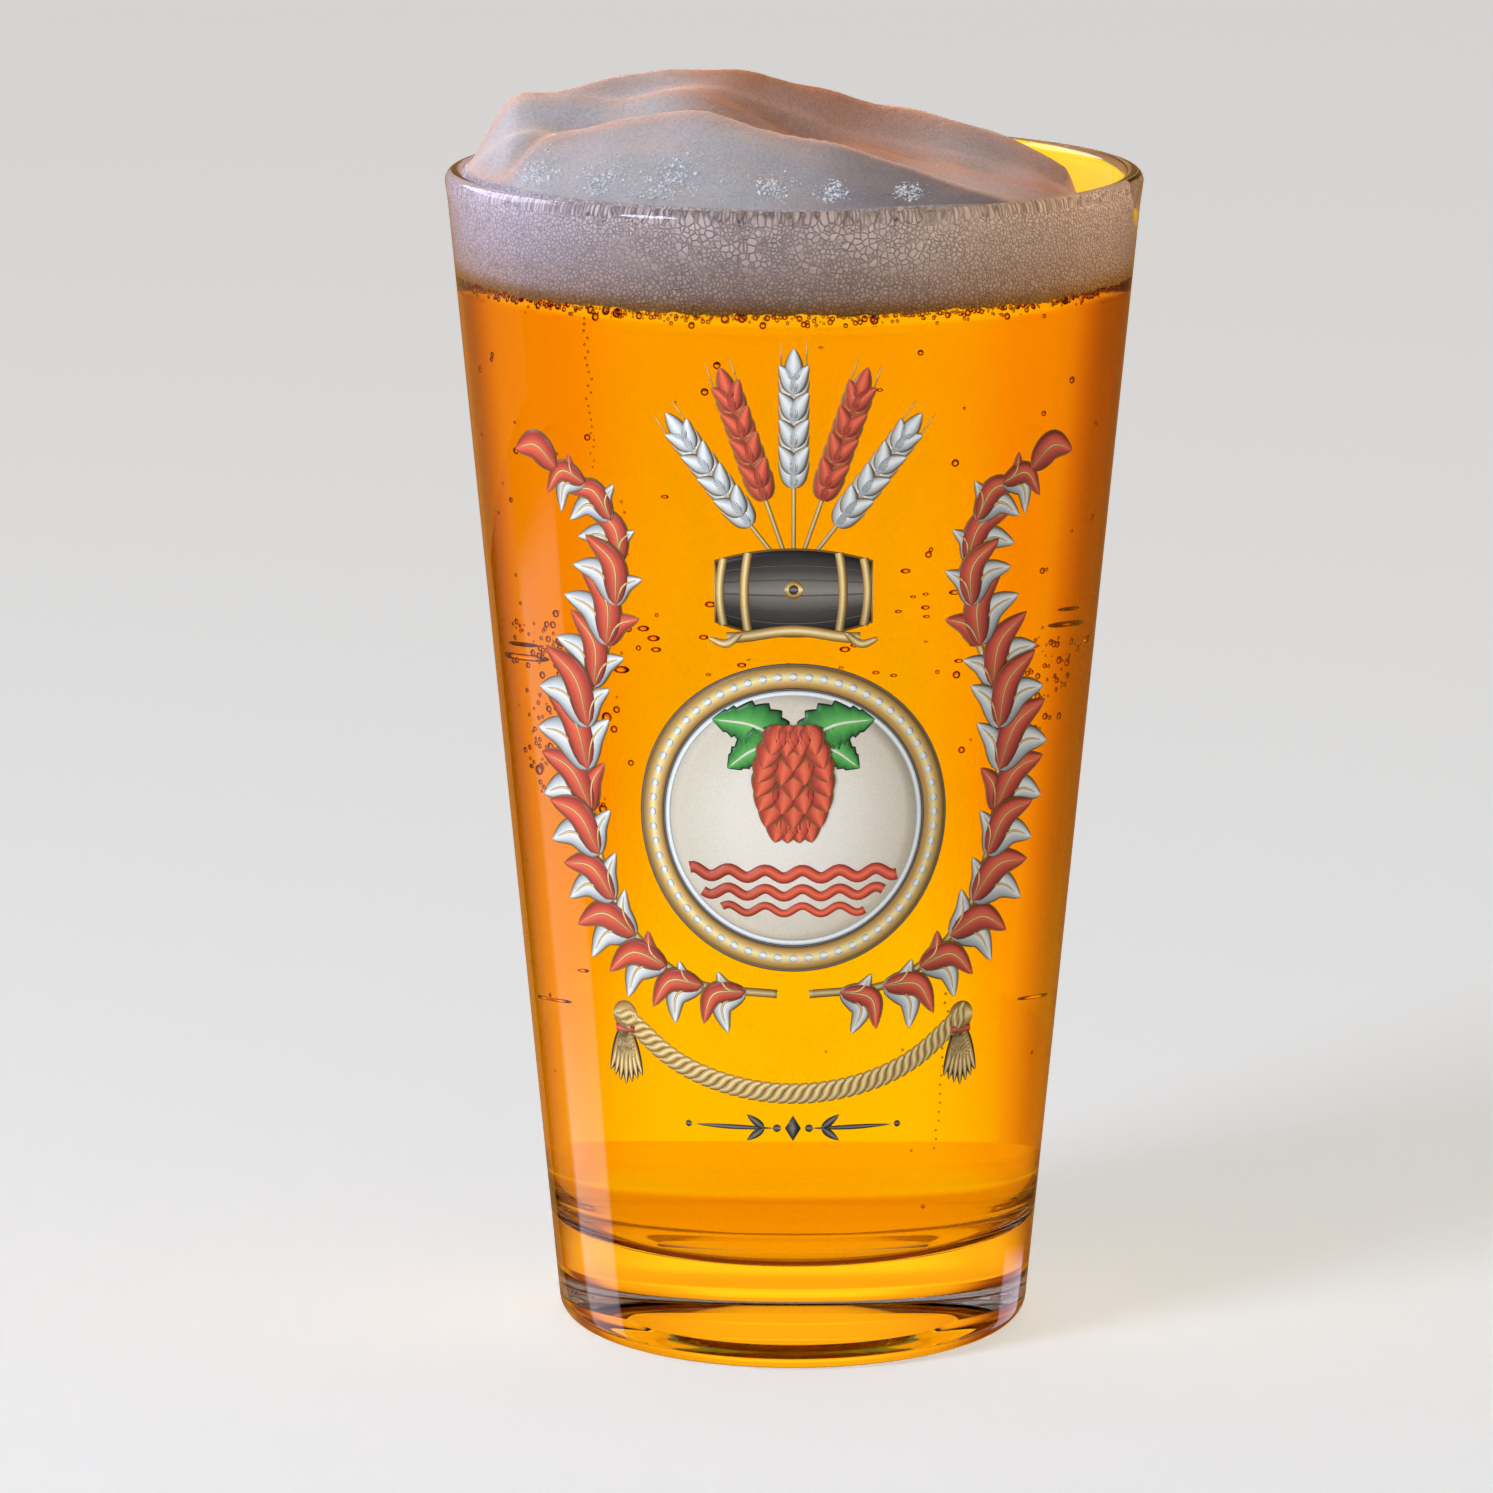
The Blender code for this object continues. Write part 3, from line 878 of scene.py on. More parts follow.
@dataclass
class FoamHead:
    """The head: a plug in the glass's neck, with the folded crown above and pressed cells round its side."""

    glass: PintGlass
    level: float = 136.3 * MM
    reach: float = 0.2 * MM
    bank_x: float = 36.2
    bank_width: float = 3.2
    low_side: float = -7.2
    around: int = 720
    crown_rings: int = 84
    side_rows: int = 34
    cell_depth: float = 0.07 * MM
    lowered: float = 0.3 * MM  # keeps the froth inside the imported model's height
    wet_spots: tuple[tuple[float, float, float], ...] = (
        (-32.0, -22.5, 2.6), (-23.5, -29.5, 3.0), (-15.0, -33.5, 3.4), (-2.5, -36.0, 1.9), (4.5, -36.5, 1.5),
        (14.0, -35.0, 1.6),
    )
    finish: BeerFoam = field(default_factory=BeerFoam)

    def height(self, x: Points, y: Points) -> Points:
        """Height of the crown above the rim, in metres, at points given in metres."""
        x_mm, y_mm = x / MM, y / MM
        chord = np.sqrt(np.maximum((self.glass.inner(self.glass.rim_height) / MM) ** 2 - x_mm**2, 1e-2))
        t = np.clip(y_mm / chord, -1.0, 1.0)
        lines = [line.at(x_mm) for line in HEAD_LINES]
        folded = lines[0][1].copy()
        for i, (near, far) in enumerate(zip(HEAD_LINES, HEAD_LINES[1:])):
            (share, height), (next_share, next_height) = lines[i], lines[i + 1]
            step = np.clip((t - share) / np.maximum(next_share - share, 1e-4), 0.0, 1.0)
            rise = next_height - height
            between = cubic(height, next_height, rise * near.crease, rise * far.crease, step)
            folded = np.where(t >= share, between, folded)
        bank = np.clip((x_mm - self.bank_x) / self.bank_width + 0.5, 0.0, 1.0)
        return cubic(folded, np.minimum(self.low_side, folded), 0.0, 0.0, bank) * MM - self.lowered

    def ripple(self, x: Points, y: Points) -> Points:
        """Slow unevenness of the crown in metres, from a few crossing waves."""
        rng = np.random.default_rng(7)
        total = np.zeros_like(x)
        for _ in range(9):
            angle, phase = rng.uniform(0, FULL_TURN, 2)
            length = rng.uniform(7, 16) * MM
            total += np.sin((x * math.cos(angle) + y * math.sin(angle)) * FULL_TURN / length + phase)
        return total * 0.055 * MM

    def values(self, x: Points, y: Points, z: Points, wall: Points) -> dict[str, Points]:
        """What the foam's finish needs to know at each point.

        Args:
            x: places in metres.
            y: places in metres.
            z: places in metres.
            wall: 1 where a point stands against the glass.

        Returns:
            Values from 0 to 1 under the names that the finish reads.
        """
        x_mm, y_mm = x / MM, y / MM
        chord = np.sqrt(np.maximum((self.glass.inner(self.glass.rim_height) / MM) ** 2 - x_mm**2, 1e-2))
        # Painted warm light along the crests of the folds
        crest = np.zeros_like(x)
        for line, width, amount in ((FRONT_FOLD, 3.6, 0.75), (MIDDLE_FOLD, 3.0, 0.6), (BACK_FOLD, 4.5, 0.8)):
            away = (y_mm - line.at(x_mm)[0] * chord) / width
            crest = np.maximum(crest, amount * np.exp(-away * away))
        behind = y_mm - FRONT_FOLD.at(x_mm)[0] * chord
        # Painted shade, warm brown, in the valley behind the front fold; the valley also gets some of the painted
        # warm light
        valley = ramp(behind, 1.0, 6.0) * (1 - ramp(y_mm / chord, 0.34, 0.62))
        valley = valley * ramp(x_mm, -19.0, -6.0) * (1 - 0.6 * ramp(x_mm, 6.0, 24.0))
        # Painted shade on the front face's right part, on the right end, and a little all along the front face below
        # its crest
        dim = 0.74 * ramp(x_mm, -16.0, 16.0) * (1 - ramp(behind, -2.5, 0.5))
        dim = np.maximum(dim, 0.35 * ramp(x_mm, 18.0, 28.0))
        dim = np.maximum(dim, 0.2 * (1 - ramp(behind, -3.0, 0.5)))
        # Painted shade in the hollow behind the front fold
        hollow = np.exp(-((y_mm - FRONT_HOLLOW.at(x_mm)[0] * chord) / 3.0) ** 2) * ramp(x_mm, -34.0, -26.0)
        # Painted warm light at the right end and along the left flank
        right = ramp(x_mm, 24.0, 34.0)
        left = 1 - ramp(x_mm, -40.0, -33.0)
        top = 1 - wall
        # All the painted warm light, on the top only
        warmth = np.clip(crest * 0.6 + right * 0.4 + valley * 0.35 + left * 0.15, 0, 0.95) * top
        above = z - self.level
        patch = np.sin(x_mm * 0.9 + 1.3 * np.sin(z / MM * 1.1)) + np.sin(x_mm * 0.37 + z / MM * 0.8 + 2.0)
        coarse = ramp(patch, -0.5, 0.2) * ramp(above, 3.5 * MM, 6.5 * MM) * ramp(x_mm, -26.0, -14.0)
        coarse = coarse * (1 - ramp(x_mm, 12.0, 26.0))
        # Beer between the lowest cells, and painted amber light that comes through the beer
        steeped = (0.55 * (1 - ramp(above, 0.2 * MM, 2.6 * MM)) + 0.42 * (1 - ramp(above, 1.0 * MM, 8.0 * MM))) * wall
        wet = np.zeros_like(x)
        for spot_x, spot_y, spread in self.wet_spots:
            wet = np.maximum(wet, np.exp(-((x_mm - spot_x) ** 2 + ((y_mm - spot_y) / 1.6) ** 2) / spread**2))
        # The band under the rim that gets the painted refraction streaks
        collar = ramp(z - self.glass.rim_height, -3.2 * MM, -1.9 * MM)
        collar = collar * (0.35 + 0.65 * ramp(x_mm, -30.0, -20.0) * (1 - ramp(x_mm, 24.0, 34.0)))
        # On the side, left and right carry painted light: violet-white on the left and gold on the right
        return {"wall": wall, "warmth": warmth, "depth": np.maximum(valley * 0.58, hollow * 0.4) * top, "dim": dim * top, "coarse": coarse,
                "steeped": steeped, "wet": wet * top, "collar": collar * wall,
                "left": (1 - ramp(x_mm, -40.0, -18.0)) * wall, "right": ramp(x_mm, 8.0, 34.0) * wall}

    def film(self, angles: Points, edge: Points) -> Points:
        """The top of the foam against the wall, with the film that clings to it at the front right.

        Args:
            angles: directions, anticlockwise from +X.
            edge: height of the head itself where it meets the wall.

        Returns:
            Height of the topmost foam on the wall.
        """
        degrees = (np.degrees(angles) + 180) % 360 - 180
        top = self.glass.rim_height - 1.5 * MM
        for waves, size in ((23, 0.25), (51, 0.2), (97, 0.15)):
            top = top + np.sin(angles * waves + waves) * size * MM
        there = ramp(degrees, -70, -58) * (1 - ramp(degrees, -16, -5))
        return np.maximum(edge, edge + (top - edge) * there)

    def mesh(self) -> bpy.types.Mesh:
        """The head's closed surface before its cells are pressed in."""
        angles = np.linspace(0, FULL_TURN, self.around, endpoint=False)
        cos, sin = np.cos(angles), np.sin(angles)
        rng = np.random.default_rng(3)
        foot = np.full_like(angles, self.level)
        for waves, size in ((11, 0.10), (29, 0.09), (67, 0.08), (131, 0.07)):
            foot += np.sin(angles * waves + rng.uniform(0, FULL_TURN)) * size * MM
        edge_r = self.glass.inner(self.glass.rim_height) + 0.05 * MM
        low = self.glass.rim_height + self.height(cos * edge_r, sin * edge_r)
        edge = self.film(angles, low)
        rings: list[Points] = []
        wall: list[float] = []
        for share in (0.35, 0.8, 0.95):
            r = self.glass.inner(self.level) * share
            rings.append(np.column_stack([cos * r, sin * r, np.full_like(angles, self.level + 0.3 * MM)]))
            wall.append(0.0)
        for share in np.linspace(0, 1, self.side_rows):
            z = foot + (edge - foot) * share
            r = np.minimum(self.glass.inner(z) + self.reach, edge_r)
            rings.append(np.column_stack([cos * r, sin * r, z]))
            wall.append(1.0)
        widest = np.minimum(self.glass.inner(low) + self.reach, edge_r)
        for inset, below in ((0.5, 0.12), (0.66, 9.0)):
            r = widest - inset * MM
            head = self.glass.rim_height + self.height(cos * r, sin * r)
            rings.append(np.column_stack([cos * r, sin * r, np.maximum(head, edge - below * MM)]))
            wall.append(0.0)
        for share in np.sin(np.linspace(math.pi / 2, 0, self.crown_rings + 1))[1:-1]:
            r = (widest - 0.8 * MM) * (share * 0.35 + 0.65 * share**1.6)
            x, y = cos * r, sin * r
            calm = 1 - ramp(np.hypot(x, y), 37 * MM, 41 * MM)
            rings.append(np.column_stack([
                x, y, self.glass.rim_height + self.height(x, y) + self.ripple(x, y) * calm
            ]))
            wall.append(0.0)
        points = np.vstack(rings)
        count = self.around
        nexts = np.roll(np.arange(count), -1)
        faces = []
        for k in range(len(rings) - 1):
            near, far = k * count, (k + 1) * count
            faces.append(np.column_stack([
                near + np.arange(count), near + nexts, far + nexts, far + np.arange(count)
            ]))
        quads = np.vstack(faces).tolist()
        under, over = len(points), len(points) + 1
        top = float(self.height(np.zeros(1), np.zeros(1))[0])
        points = np.vstack([
            points, [0, 0, self.level + 0.3 * MM], [0, 0, self.glass.rim_height + top]
        ])
        last = (len(rings) - 1) * count
        fans = [(int(nexts[i]), i, under) for i in range(count)]
        fans += [(last + i, last + int(nexts[i]), over) for i in range(count)]
        mesh = mesh_of("foam_head", points, faces=quads + fans)
        walls = np.append(np.repeat(wall, count), [0.0, 0.0])
        for name, values in self.values(*points.T, walls).items():
            give_values(mesh, name, values)
        return mesh

    def skin(self) -> bpy.types.NodeTree:
        """The tree that presses cells into the side and roughens the crown."""
        tree, start, end = new_geometry_tree("press_foam_cells", {
            "Fine cell": "NodeSocketFloat", "Coarse cell": "NodeSocketFloat", "Cell depth": "NodeSocketFloat",
            "Froth depth": "NodeSocketFloat", "Material": "NodeSocketMaterial",
        })
        place = add_node(tree, "GeometryNodeInputPosition")
        wall = add_node(tree, "GeometryNodeInputNamedAttribute", {"data_type": "FLOAT"}, {"Name": "wall"})
        coarse = add_node(tree, "GeometryNodeInputNamedAttribute", {"data_type": "FLOAT"}, {"Name": "coarse"})
        hollows = []
        for label in ("Fine cell", "Coarse cell"):
            scale = add_node(
                tree, "ShaderNodeMath", {"operation": "DIVIDE"}, {0: 1.0, 1: start.outputs[label]}
            )
            edge = add_node(
                tree, "ShaderNodeTexVoronoi", {"feature": "DISTANCE_TO_EDGE"},
                {"Vector": place, "Scale": scale},
            )
            hollows.append(add_node(
                tree, "ShaderNodeMapRange", {"interpolation_type": "SMOOTHSTEP"},
                {"Value": edge, "From Min": 0.0, "From Max": 0.3, "To Min": -1.0, "To Max": 0.0},
            ))
        hollow = add_node(tree, "ShaderNodeMix", inputs={0: coarse, 2: hollows[0], 3: hollows[1]})
        pressed = add_node(
            tree, "ShaderNodeMath", {"operation": "MULTIPLY"}, {0: hollow, 1: start.outputs["Cell depth"]}
        )
        noise = add_node(
            tree, "ShaderNodeTexNoise", inputs={"Vector": place, "Scale": 700.0, "Detail": 2.0}
        )
        froth = add_node(
            tree, "ShaderNodeMath", {"operation": "MULTIPLY"},
            {0: add_node(tree, "ShaderNodeMath", {"operation": "SUBTRACT"}, {0: noise, 1: 0.62}),
             1: start.outputs["Froth depth"]},
        )
        amount = add_node(tree, "ShaderNodeMix", inputs={0: wall, 2: froth, 3: pressed})
        offset = add_node(
            tree, "ShaderNodeVectorMath", {"operation": "SCALE"},
            {0: add_node(tree, "GeometryNodeInputNormal"), "Scale": amount},
        )
        moved = add_node(
            tree, "GeometryNodeSetPosition", inputs={"Geometry": start.outputs["Geometry"], "Offset": offset}
        )
        end_geometry_tree(tree, start, end, moved)
        return tree

    def build(self) -> bpy.types.Object:
        """Makes the head and puts it in the frame."""
        piece = run_tree("foam_head", self.mesh(), self.skin(), {
            "Fine cell": self.finish.fine_cell, "Coarse cell": self.finish.coarse_cell,
            "Cell depth": self.cell_depth, "Froth depth": 0.16 * MM, "Material": self.finish.material(),
        })
        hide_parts("foam")
        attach(piece, "root")
        return piece


# Bubbles


@dataclass
class Bubbles:
    """The gas in the beer: a fringe under the foam, loose bubbles, rising chains and clusters on the wall."""

    glass: PintGlass
    level: float = 136.3 * MM

    def on_wall(self, angle: Points, z: Points, size: Points) -> Points:
        """Middles of bubbles that touch the inside of the wall.

        Args:
            angle: direction of each in degrees, 0 towards the camera and 90 to the right.
            z: heights.
            size: radii.

        Returns:
            One row of x, y and z for each bubble.
        """
        a = np.radians(angle)
        r = self.glass.inner(z) - size
        return np.column_stack([np.sin(a) * r, -np.cos(a) * r, z])

    def fringe(self) -> tuple[Points, Points]:
        """The bubbles that hang under the foam's edge, all round the glass."""
        rng = np.random.default_rng(21)
        count = 900
        angle = np.linspace(0, 360, count, endpoint=False) + rng.uniform(-0.3, 0.3, count)
        size = rng.lognormal(math.log(0.21), 0.38, count).clip(0.12, 0.55) * MM
        drop = rng.exponential(0.32, count).clip(0, 1.8) * MM
        z = self.level - size * 0.75 - drop
        return self.on_wall(angle, z, size), size

    def loose(self) -> tuple[Points, Points]:
        """Single bubbles on their way up, and specks low in the glass."""
        rng = np.random.default_rng(5)
        count = 52
        angle = rng.uniform(-74, 74, count)
        z = (self.level - 4 * MM) - rng.beta(1.1, 2.2, count) * 70 * MM
        size = rng.uniform(0.24, 0.5, count) * MM
        specks = 60
        angle = np.append(angle, rng.uniform(-180, 180, specks))
        z = np.append(z, rng.uniform(18, 130, specks) * MM)
        size = np.append(size, rng.uniform(0.15, 0.28, specks) * MM)
        return self.on_wall(angle, z, size), size

    def chains(self) -> tuple[Points, Points]:
        """Chains of small bubbles that rise from one place on the wall."""
        rng = np.random.default_rng(9)
        spots, sizes = [], []
        for angle, low, high, count in ((-39, 116, 134, 22), (-33, 100, 112, 10), (37, 28, 58, 26)):
            z = np.linspace(low, high, count) * MM
            size = np.linspace(0.13, 0.2, count) * MM
            spots.append(self.on_wall(angle + rng.normal(0, 0.35, count), z, size))
            sizes.append(size)
        return np.vstack(spots), np.concatenate(sizes)

    def clusters(self) -> tuple[Points, Points]:
        """Bubbles that cling where another glass once rubbed the inside of the wall."""
        rng = np.random.default_rng(14)
        spots, sizes = [], []
        for angle, spread, height, tall, count in (
            (-55, 8, 92, 1.6, 60), (-52, 7, 84, 3.5, 60), (-63, 4, 76, 3, 34), (-46, 3, 73, 2, 16),
            (55, 8, 90, 1.8, 46), (52, 6, 82, 3, 40), (66, 5, 87, 3, 24), (170, 30, 88, 4, 60),
        ):
            z = (height + rng.normal(0, tall, count)) * MM
            size = rng.lognormal(math.log(0.3), 0.4, count).clip(0.14, 0.7) * MM
            spots.append(self.on_wall(angle + rng.normal(0, spread, count), z, size))
            sizes.append(size)
        return np.vstack(spots), np.concatenate(sizes)

    def open_ones(self, head: FoamHead) -> tuple[Points, Points]:
        """Open bubbles in the wet patches of the foam's top, next to the rim."""
        rng = np.random.default_rng(31)
        spots, sizes = [], []
        for x, y, spread in head.wet_spots:
            count = int(120 * spread)
            xs = (x + rng.normal(0, spread * 0.6, count)) * MM
            ys = (y + rng.normal(0, spread * 0.95, count)) * MM
            kept = np.hypot(xs, ys) < 40.2 * MM
            xs, ys = xs[kept], ys[kept]
            size = rng.lognormal(math.log(0.09), 0.5, len(xs)).clip(0.05, 0.34) * MM
            zs = self.glass.rim_height + head.height(xs, ys) + head.ripple(xs, ys)
            spots.append(np.column_stack([xs, ys, zs - size * 0.2]))
            sizes.append(size)
        return np.vstack(spots), np.concatenate(sizes)

    def tree(self) -> bpy.types.NodeTree:
        """The tree that puts a round bubble on each point, scaled by the point's own size."""
        tree, start, end = new_geometry_tree(
            "bubble_on_each_point", {"Roundness": "NodeSocketInt", "Material": "NodeSocketMaterial"}
        )
        ball = add_node(
            tree, "GeometryNodeMeshIcoSphere", inputs={"Radius": 1.0, "Subdivisions": start.outputs["Roundness"]}
        )
        size = add_node(tree, "GeometryNodeInputNamedAttribute", {"data_type": "FLOAT"}, {"Name": "size"})
        placed = add_node(
            tree, "GeometryNodeInstanceOnPoints",
            inputs={"Points": start.outputs["Geometry"], "Instance": ball.outputs["Mesh"],
                    "Scale": size.outputs["Attribute"]},
        )
        end_geometry_tree(tree, start, end, placed)
        return tree

    def build(self, head: FoamHead) -> list[bpy.types.Object]:
        """Makes each kind of bubble as one piece and puts them in the frame."""
        tree, gas, pieces = self.tree(), BubbleGas().material(), []
        kinds = (
            ("foam_line_bubbles", self.fringe(), gas, "amber_beer"),
            ("loose_bubbles", self.loose(), gas, "amber_beer"),
            ("bubble_chains", self.chains(), gas, "amber_beer"),
            ("wall_bubbles", self.clusters(), gas, "amber_beer"),
            ("open_foam_bubbles", self.open_ones(head), BubbleFilm().material(), "beer_foam"),
        )
        for name, (spots, sizes), material, slot in kinds:
            mesh = mesh_of(name + "_points", spots)
            give_values(mesh, "size", sizes)
            piece = run_tree(name, mesh, tree, {"Roundness": 2, "Material": material})
            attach(piece, "root")
            pieces.append(piece)
        return pieces


# The print


def curve_through(points: Iterable[tuple[float, float]], count: int) -> Points:
    """A smooth line through points in the print's plane.

    Args:
        points: the places that the line passes, in mm.
        count: how many points the line gets.

    Returns:
        The line's points.
    """
    knots = np.array(list(points), float)
    lengths = np.append(0, np.cumsum(np.hypot(*np.diff(knots, axis=0).T)))
    slopes = np.gradient(knots, lengths, axis=0)
    places = np.linspace(0, lengths[-1], count)
    i = np.clip(np.searchsorted(lengths, places) - 1, 0, len(lengths) - 2)
    span = (lengths[i + 1] - lengths[i])[:, None]
    step = (places - lengths[i])[:, None] / span
    return cubic(knots[i], knots[i + 1], span * slopes[i], span * slopes[i + 1], step)


def circle_line(centre: tuple[float, float], radius: float, start: float, end: float, count: int) -> Points:
    """Points on part of a circle in the print's plane.

    Args:
        centre: its middle, in mm.
        radius: its radius, in mm.
        start: the first angle in degrees, anticlockwise from the right.
        end: the last angle.
        count: how many points.

    Returns:
        The points.
    """
    angles = np.radians(np.linspace(start, end, count))
    return np.column_stack([centre[0] + radius * np.cos(angles), centre[1] + radius * np.sin(angles)])


@dataclass
class Sheet:
    """Flat strokes of one enamel, each a grid of faces with a place along and across the stroke."""

    points: list = field(default_factory=list)
    faces: list = field(default_factory=list)
    strokes: list = field(default_factory=list)
    tones: list = field(default_factory=list)

    def stroke(self, spine: Points, half: Points, layer: int, tone: float = 0.5, across: int = 4) -> None:
        """Adds a stroke round a spine.

        Args:
            spine: the points of its middle line, in mm.
            half: half its width at each of them.
            layer: how many enamels lie under it.
            tone: 0 for the darkest stroke and 1 for the lightest.
            across: how many faces it is wide.
        """
        closed = bool(np.allclose(spine[0], spine[-1]))
        tangent = np.gradient(spine, axis=0)
        if closed:
            tangent[0] = tangent[-1] = spine[1] - spine[-2]
        tangent /= np.maximum(np.hypot(tangent[:, 0], tangent[:, 1]), 1e-9)[:, None]
        left = np.column_stack([-tangent[:, 1], tangent[:, 0]])
        first, rows = len(self.points), len(spine)
        for i in range(rows):
            for j in range(across + 1):
                side = 2 * j / across - 1
                s, t = spine[i] + left[i] * half[i] * side
                self.points.append((s, layer, t))
                self.strokes.append((0.6 if closed else i / (rows - 1), j / across))
                self.tones.append(tone)
        for i in range(rows - 1):
            for j in range(across):
                a = first + i * (across + 1) + j
                self.faces.append((a, a + across + 1, a + across + 2, a + 1))


@dataclass
class PrintedDecoration:
    """A generic brewing ornament, fired on the outside of the glass where it faces the camera.

    It is drawn in a plane of mm, s to the right and t up from the table, and then laid on the cone.
    """

    glass: PintGlass
    roundel: tuple[float, float] = (0.0, 73.0)
    roundel_radius: float = 19.6
    first_lift: float = 0.03 * MM
    layer_lift: float = 0.012 * MM
    thickness: float = 0.04 * MM
    sheets: dict = field(default_factory=lambda: {ink: Sheet() for ink in Ink})

    def line(self, ink: Ink, spine: Points, width: float, layer: int, tone: float = 0.5, taper: float = 0.0) -> None:
        """Draws a line of even width, or one that thins to points if taper is 1."""
        t = np.linspace(0, 1, len(spine))
        half = width / 2 * (1 - taper + taper * np.sin(math.pi * t) ** 0.7)
        self.sheets[ink].stroke(spine, half, layer, tone, 2)

    def leaf(
        self, ink: Ink, base: tuple[float, float], angle: float, length: float, width: float, layer: int,
        bend: float = 0.0, tone: float = 0.5, edge: Ink | None = Ink.GOLD, rib: Ink | None = Ink.GOLD,
        teeth: int = 0,
    ) -> None:
        """Draws a leaf with an outline and a midrib.

        Args:
            ink: its enamel.
            base: where it starts.
            angle: its direction in degrees, anticlockwise from the right.
            length: its length.
            width: its greatest width.
            layer: how many enamels lie under it.
            bend: how far its middle is off the straight line, to the left of its direction.
            tone: how light it is.
            edge: the outline's enamel.
            rib: the midrib's enamel.
            teeth: how many teeth each side has.
        """
        way = np.array([math.cos(math.radians(angle)), math.sin(math.radians(angle))])
        left = np.array([-way[1], way[0]])
        start = np.array(base, float)
        knots = [start, start + way * length * 0.5 + left * bend, start + way * length]
        spine = curve_through(knots, 15 if not teeth else teeth * 4 + 1)
        t = np.linspace(0, 1, len(spine))
        half = width / 2 * np.sin(math.pi * t**0.72) ** 0.8
        if teeth:
            half = half * (1 + 0.16 * (1 - 2 * ((t * teeth) % 1.0)) * (t < 1))
        if edge:
            wide = half + 0.24 * np.sin(math.pi * np.clip(t * 0.98 + 0.01, 0, 1)) ** 0.4
            self.sheets[edge].stroke(spine, wide, layer, 0.35, 2)
        self.sheets[ink].stroke(spine, half, layer + 1, tone, 6)
        if rib:
            inner = spine[1:-2]
            self.line(rib, inner, 0.34, layer + 2, 0.6, 0.8)

    def disc(self, ink: Ink, centre: tuple[float, float], radius: float, layer: int, tone: float = 0.5) -> None:
        """Draws a filled disc as a leaf-shaped stroke of round outline."""
        x = -np.cos(np.linspace(0, math.pi, 11))
        spine = np.column_stack([centre[0] + x * radius, np.full_like(x, centre[1])])
        self.sheets[ink].stroke(spine, np.sqrt(np.maximum(1 - x * x, 0)) * radius, layer, tone, 4)

    def ring(self, ink: Ink, inner: float, outer: float, layer: int, tone: float = 0.5) -> None:
        """Draws a ring round the roundel's middle."""
        spine = circle_line(self.roundel, (inner + outer) / 2, 0, 360, 97)
        self.sheets[ink].stroke(spine, np.full(len(spine), (outer - inner) / 2), layer, tone, 6)

    def draw_roundel(self) -> None:
        """The gold ring, the cream field and the waves at its foot."""
        c, r = self.roundel, self.roundel_radius
        self.ring(Ink.CHARCOAL, r - 0.1, r + 0.25, 2, 0.2)
        self.ring(Ink.GOLD, r - 2.9, r, 3, 0.7)
        self.ring(Ink.CHARCOAL, r - 3.2, r - 2.9, 3, 0.2)
        self.ring(Ink.SILVER, r - 3.9, r - 3.2, 3, 0.8)
        spine = circle_line(c, (r - 3.9) / 2, 0, 360, 97)
        self.sheets[Ink.CREAM].stroke(spine, np.full(97, (r - 3.9) / 2), 2, 0.6, 10)
        field_radius = r - 4.4
        for drop, width in ((7.2, 1.5), (9.6, 1.3), (11.8, 1.0)):
            half = math.sqrt(field_radius**2 - (drop + 0.5) ** 2)
            s = np.linspace(-half, half, 61)
            wave = np.column_stack([s, c[1] - drop + 0.5 * np.sin(s * FULL_TURN / 4.6)])
            self.line(Ink.RED, wave, width, 4, 0.6)

    def draw_hop(self) -> None:
        """One hop cone with two leaves, in the middle of the roundel."""
        c = self.roundel
        top = c[1] + 9.4
        for side in (-1, 1):
            for lean, length, width in ((18, 10.0, 5.6), (-22, 8.2, 4.8)):
                self.leaf(
                    Ink.GREEN, (side * 0.6, top), 90 - side * (90 - lean), length, width, 5, side * 1.0,
                    0.55, Ink.CHARCOAL, Ink.CREAM, 7,
                )
            tendril = curve_through(
                ((0, top), (side * 2.0, top + 2.0), (side * 4.2, top + 1.7), (side * 4.6, top + 0.6)), 18
            )
            self.line(Ink.GREEN, tendril, 0.5, 5, 0.4, 0.7)
        self.line(Ink.GREEN, np.array([(0, top - 1), (0, top + 2.6)]), 0.7, 8, 0.5)
        rows = 7
        for k in range(rows):
            share = k / (rows - 1)
            t = top - 11.6 + share * 11.2
            reach = 3.5 * math.sin(math.pi * (0.14 + 0.68 * share)) ** 0.8
            count = 3 if k % 2 else 4
            for j in range(count):
                s = reach * (2 * j / (count - 1) - 1)
                self.leaf(
                    Ink.RED, (s * 0.8, t + 3.1), -90 + s * 7, 4.1, 3.0, 9 + 2 * k, 0.0,
                    0.35 + 0.45 * share, Ink.GOLD, None,
                )

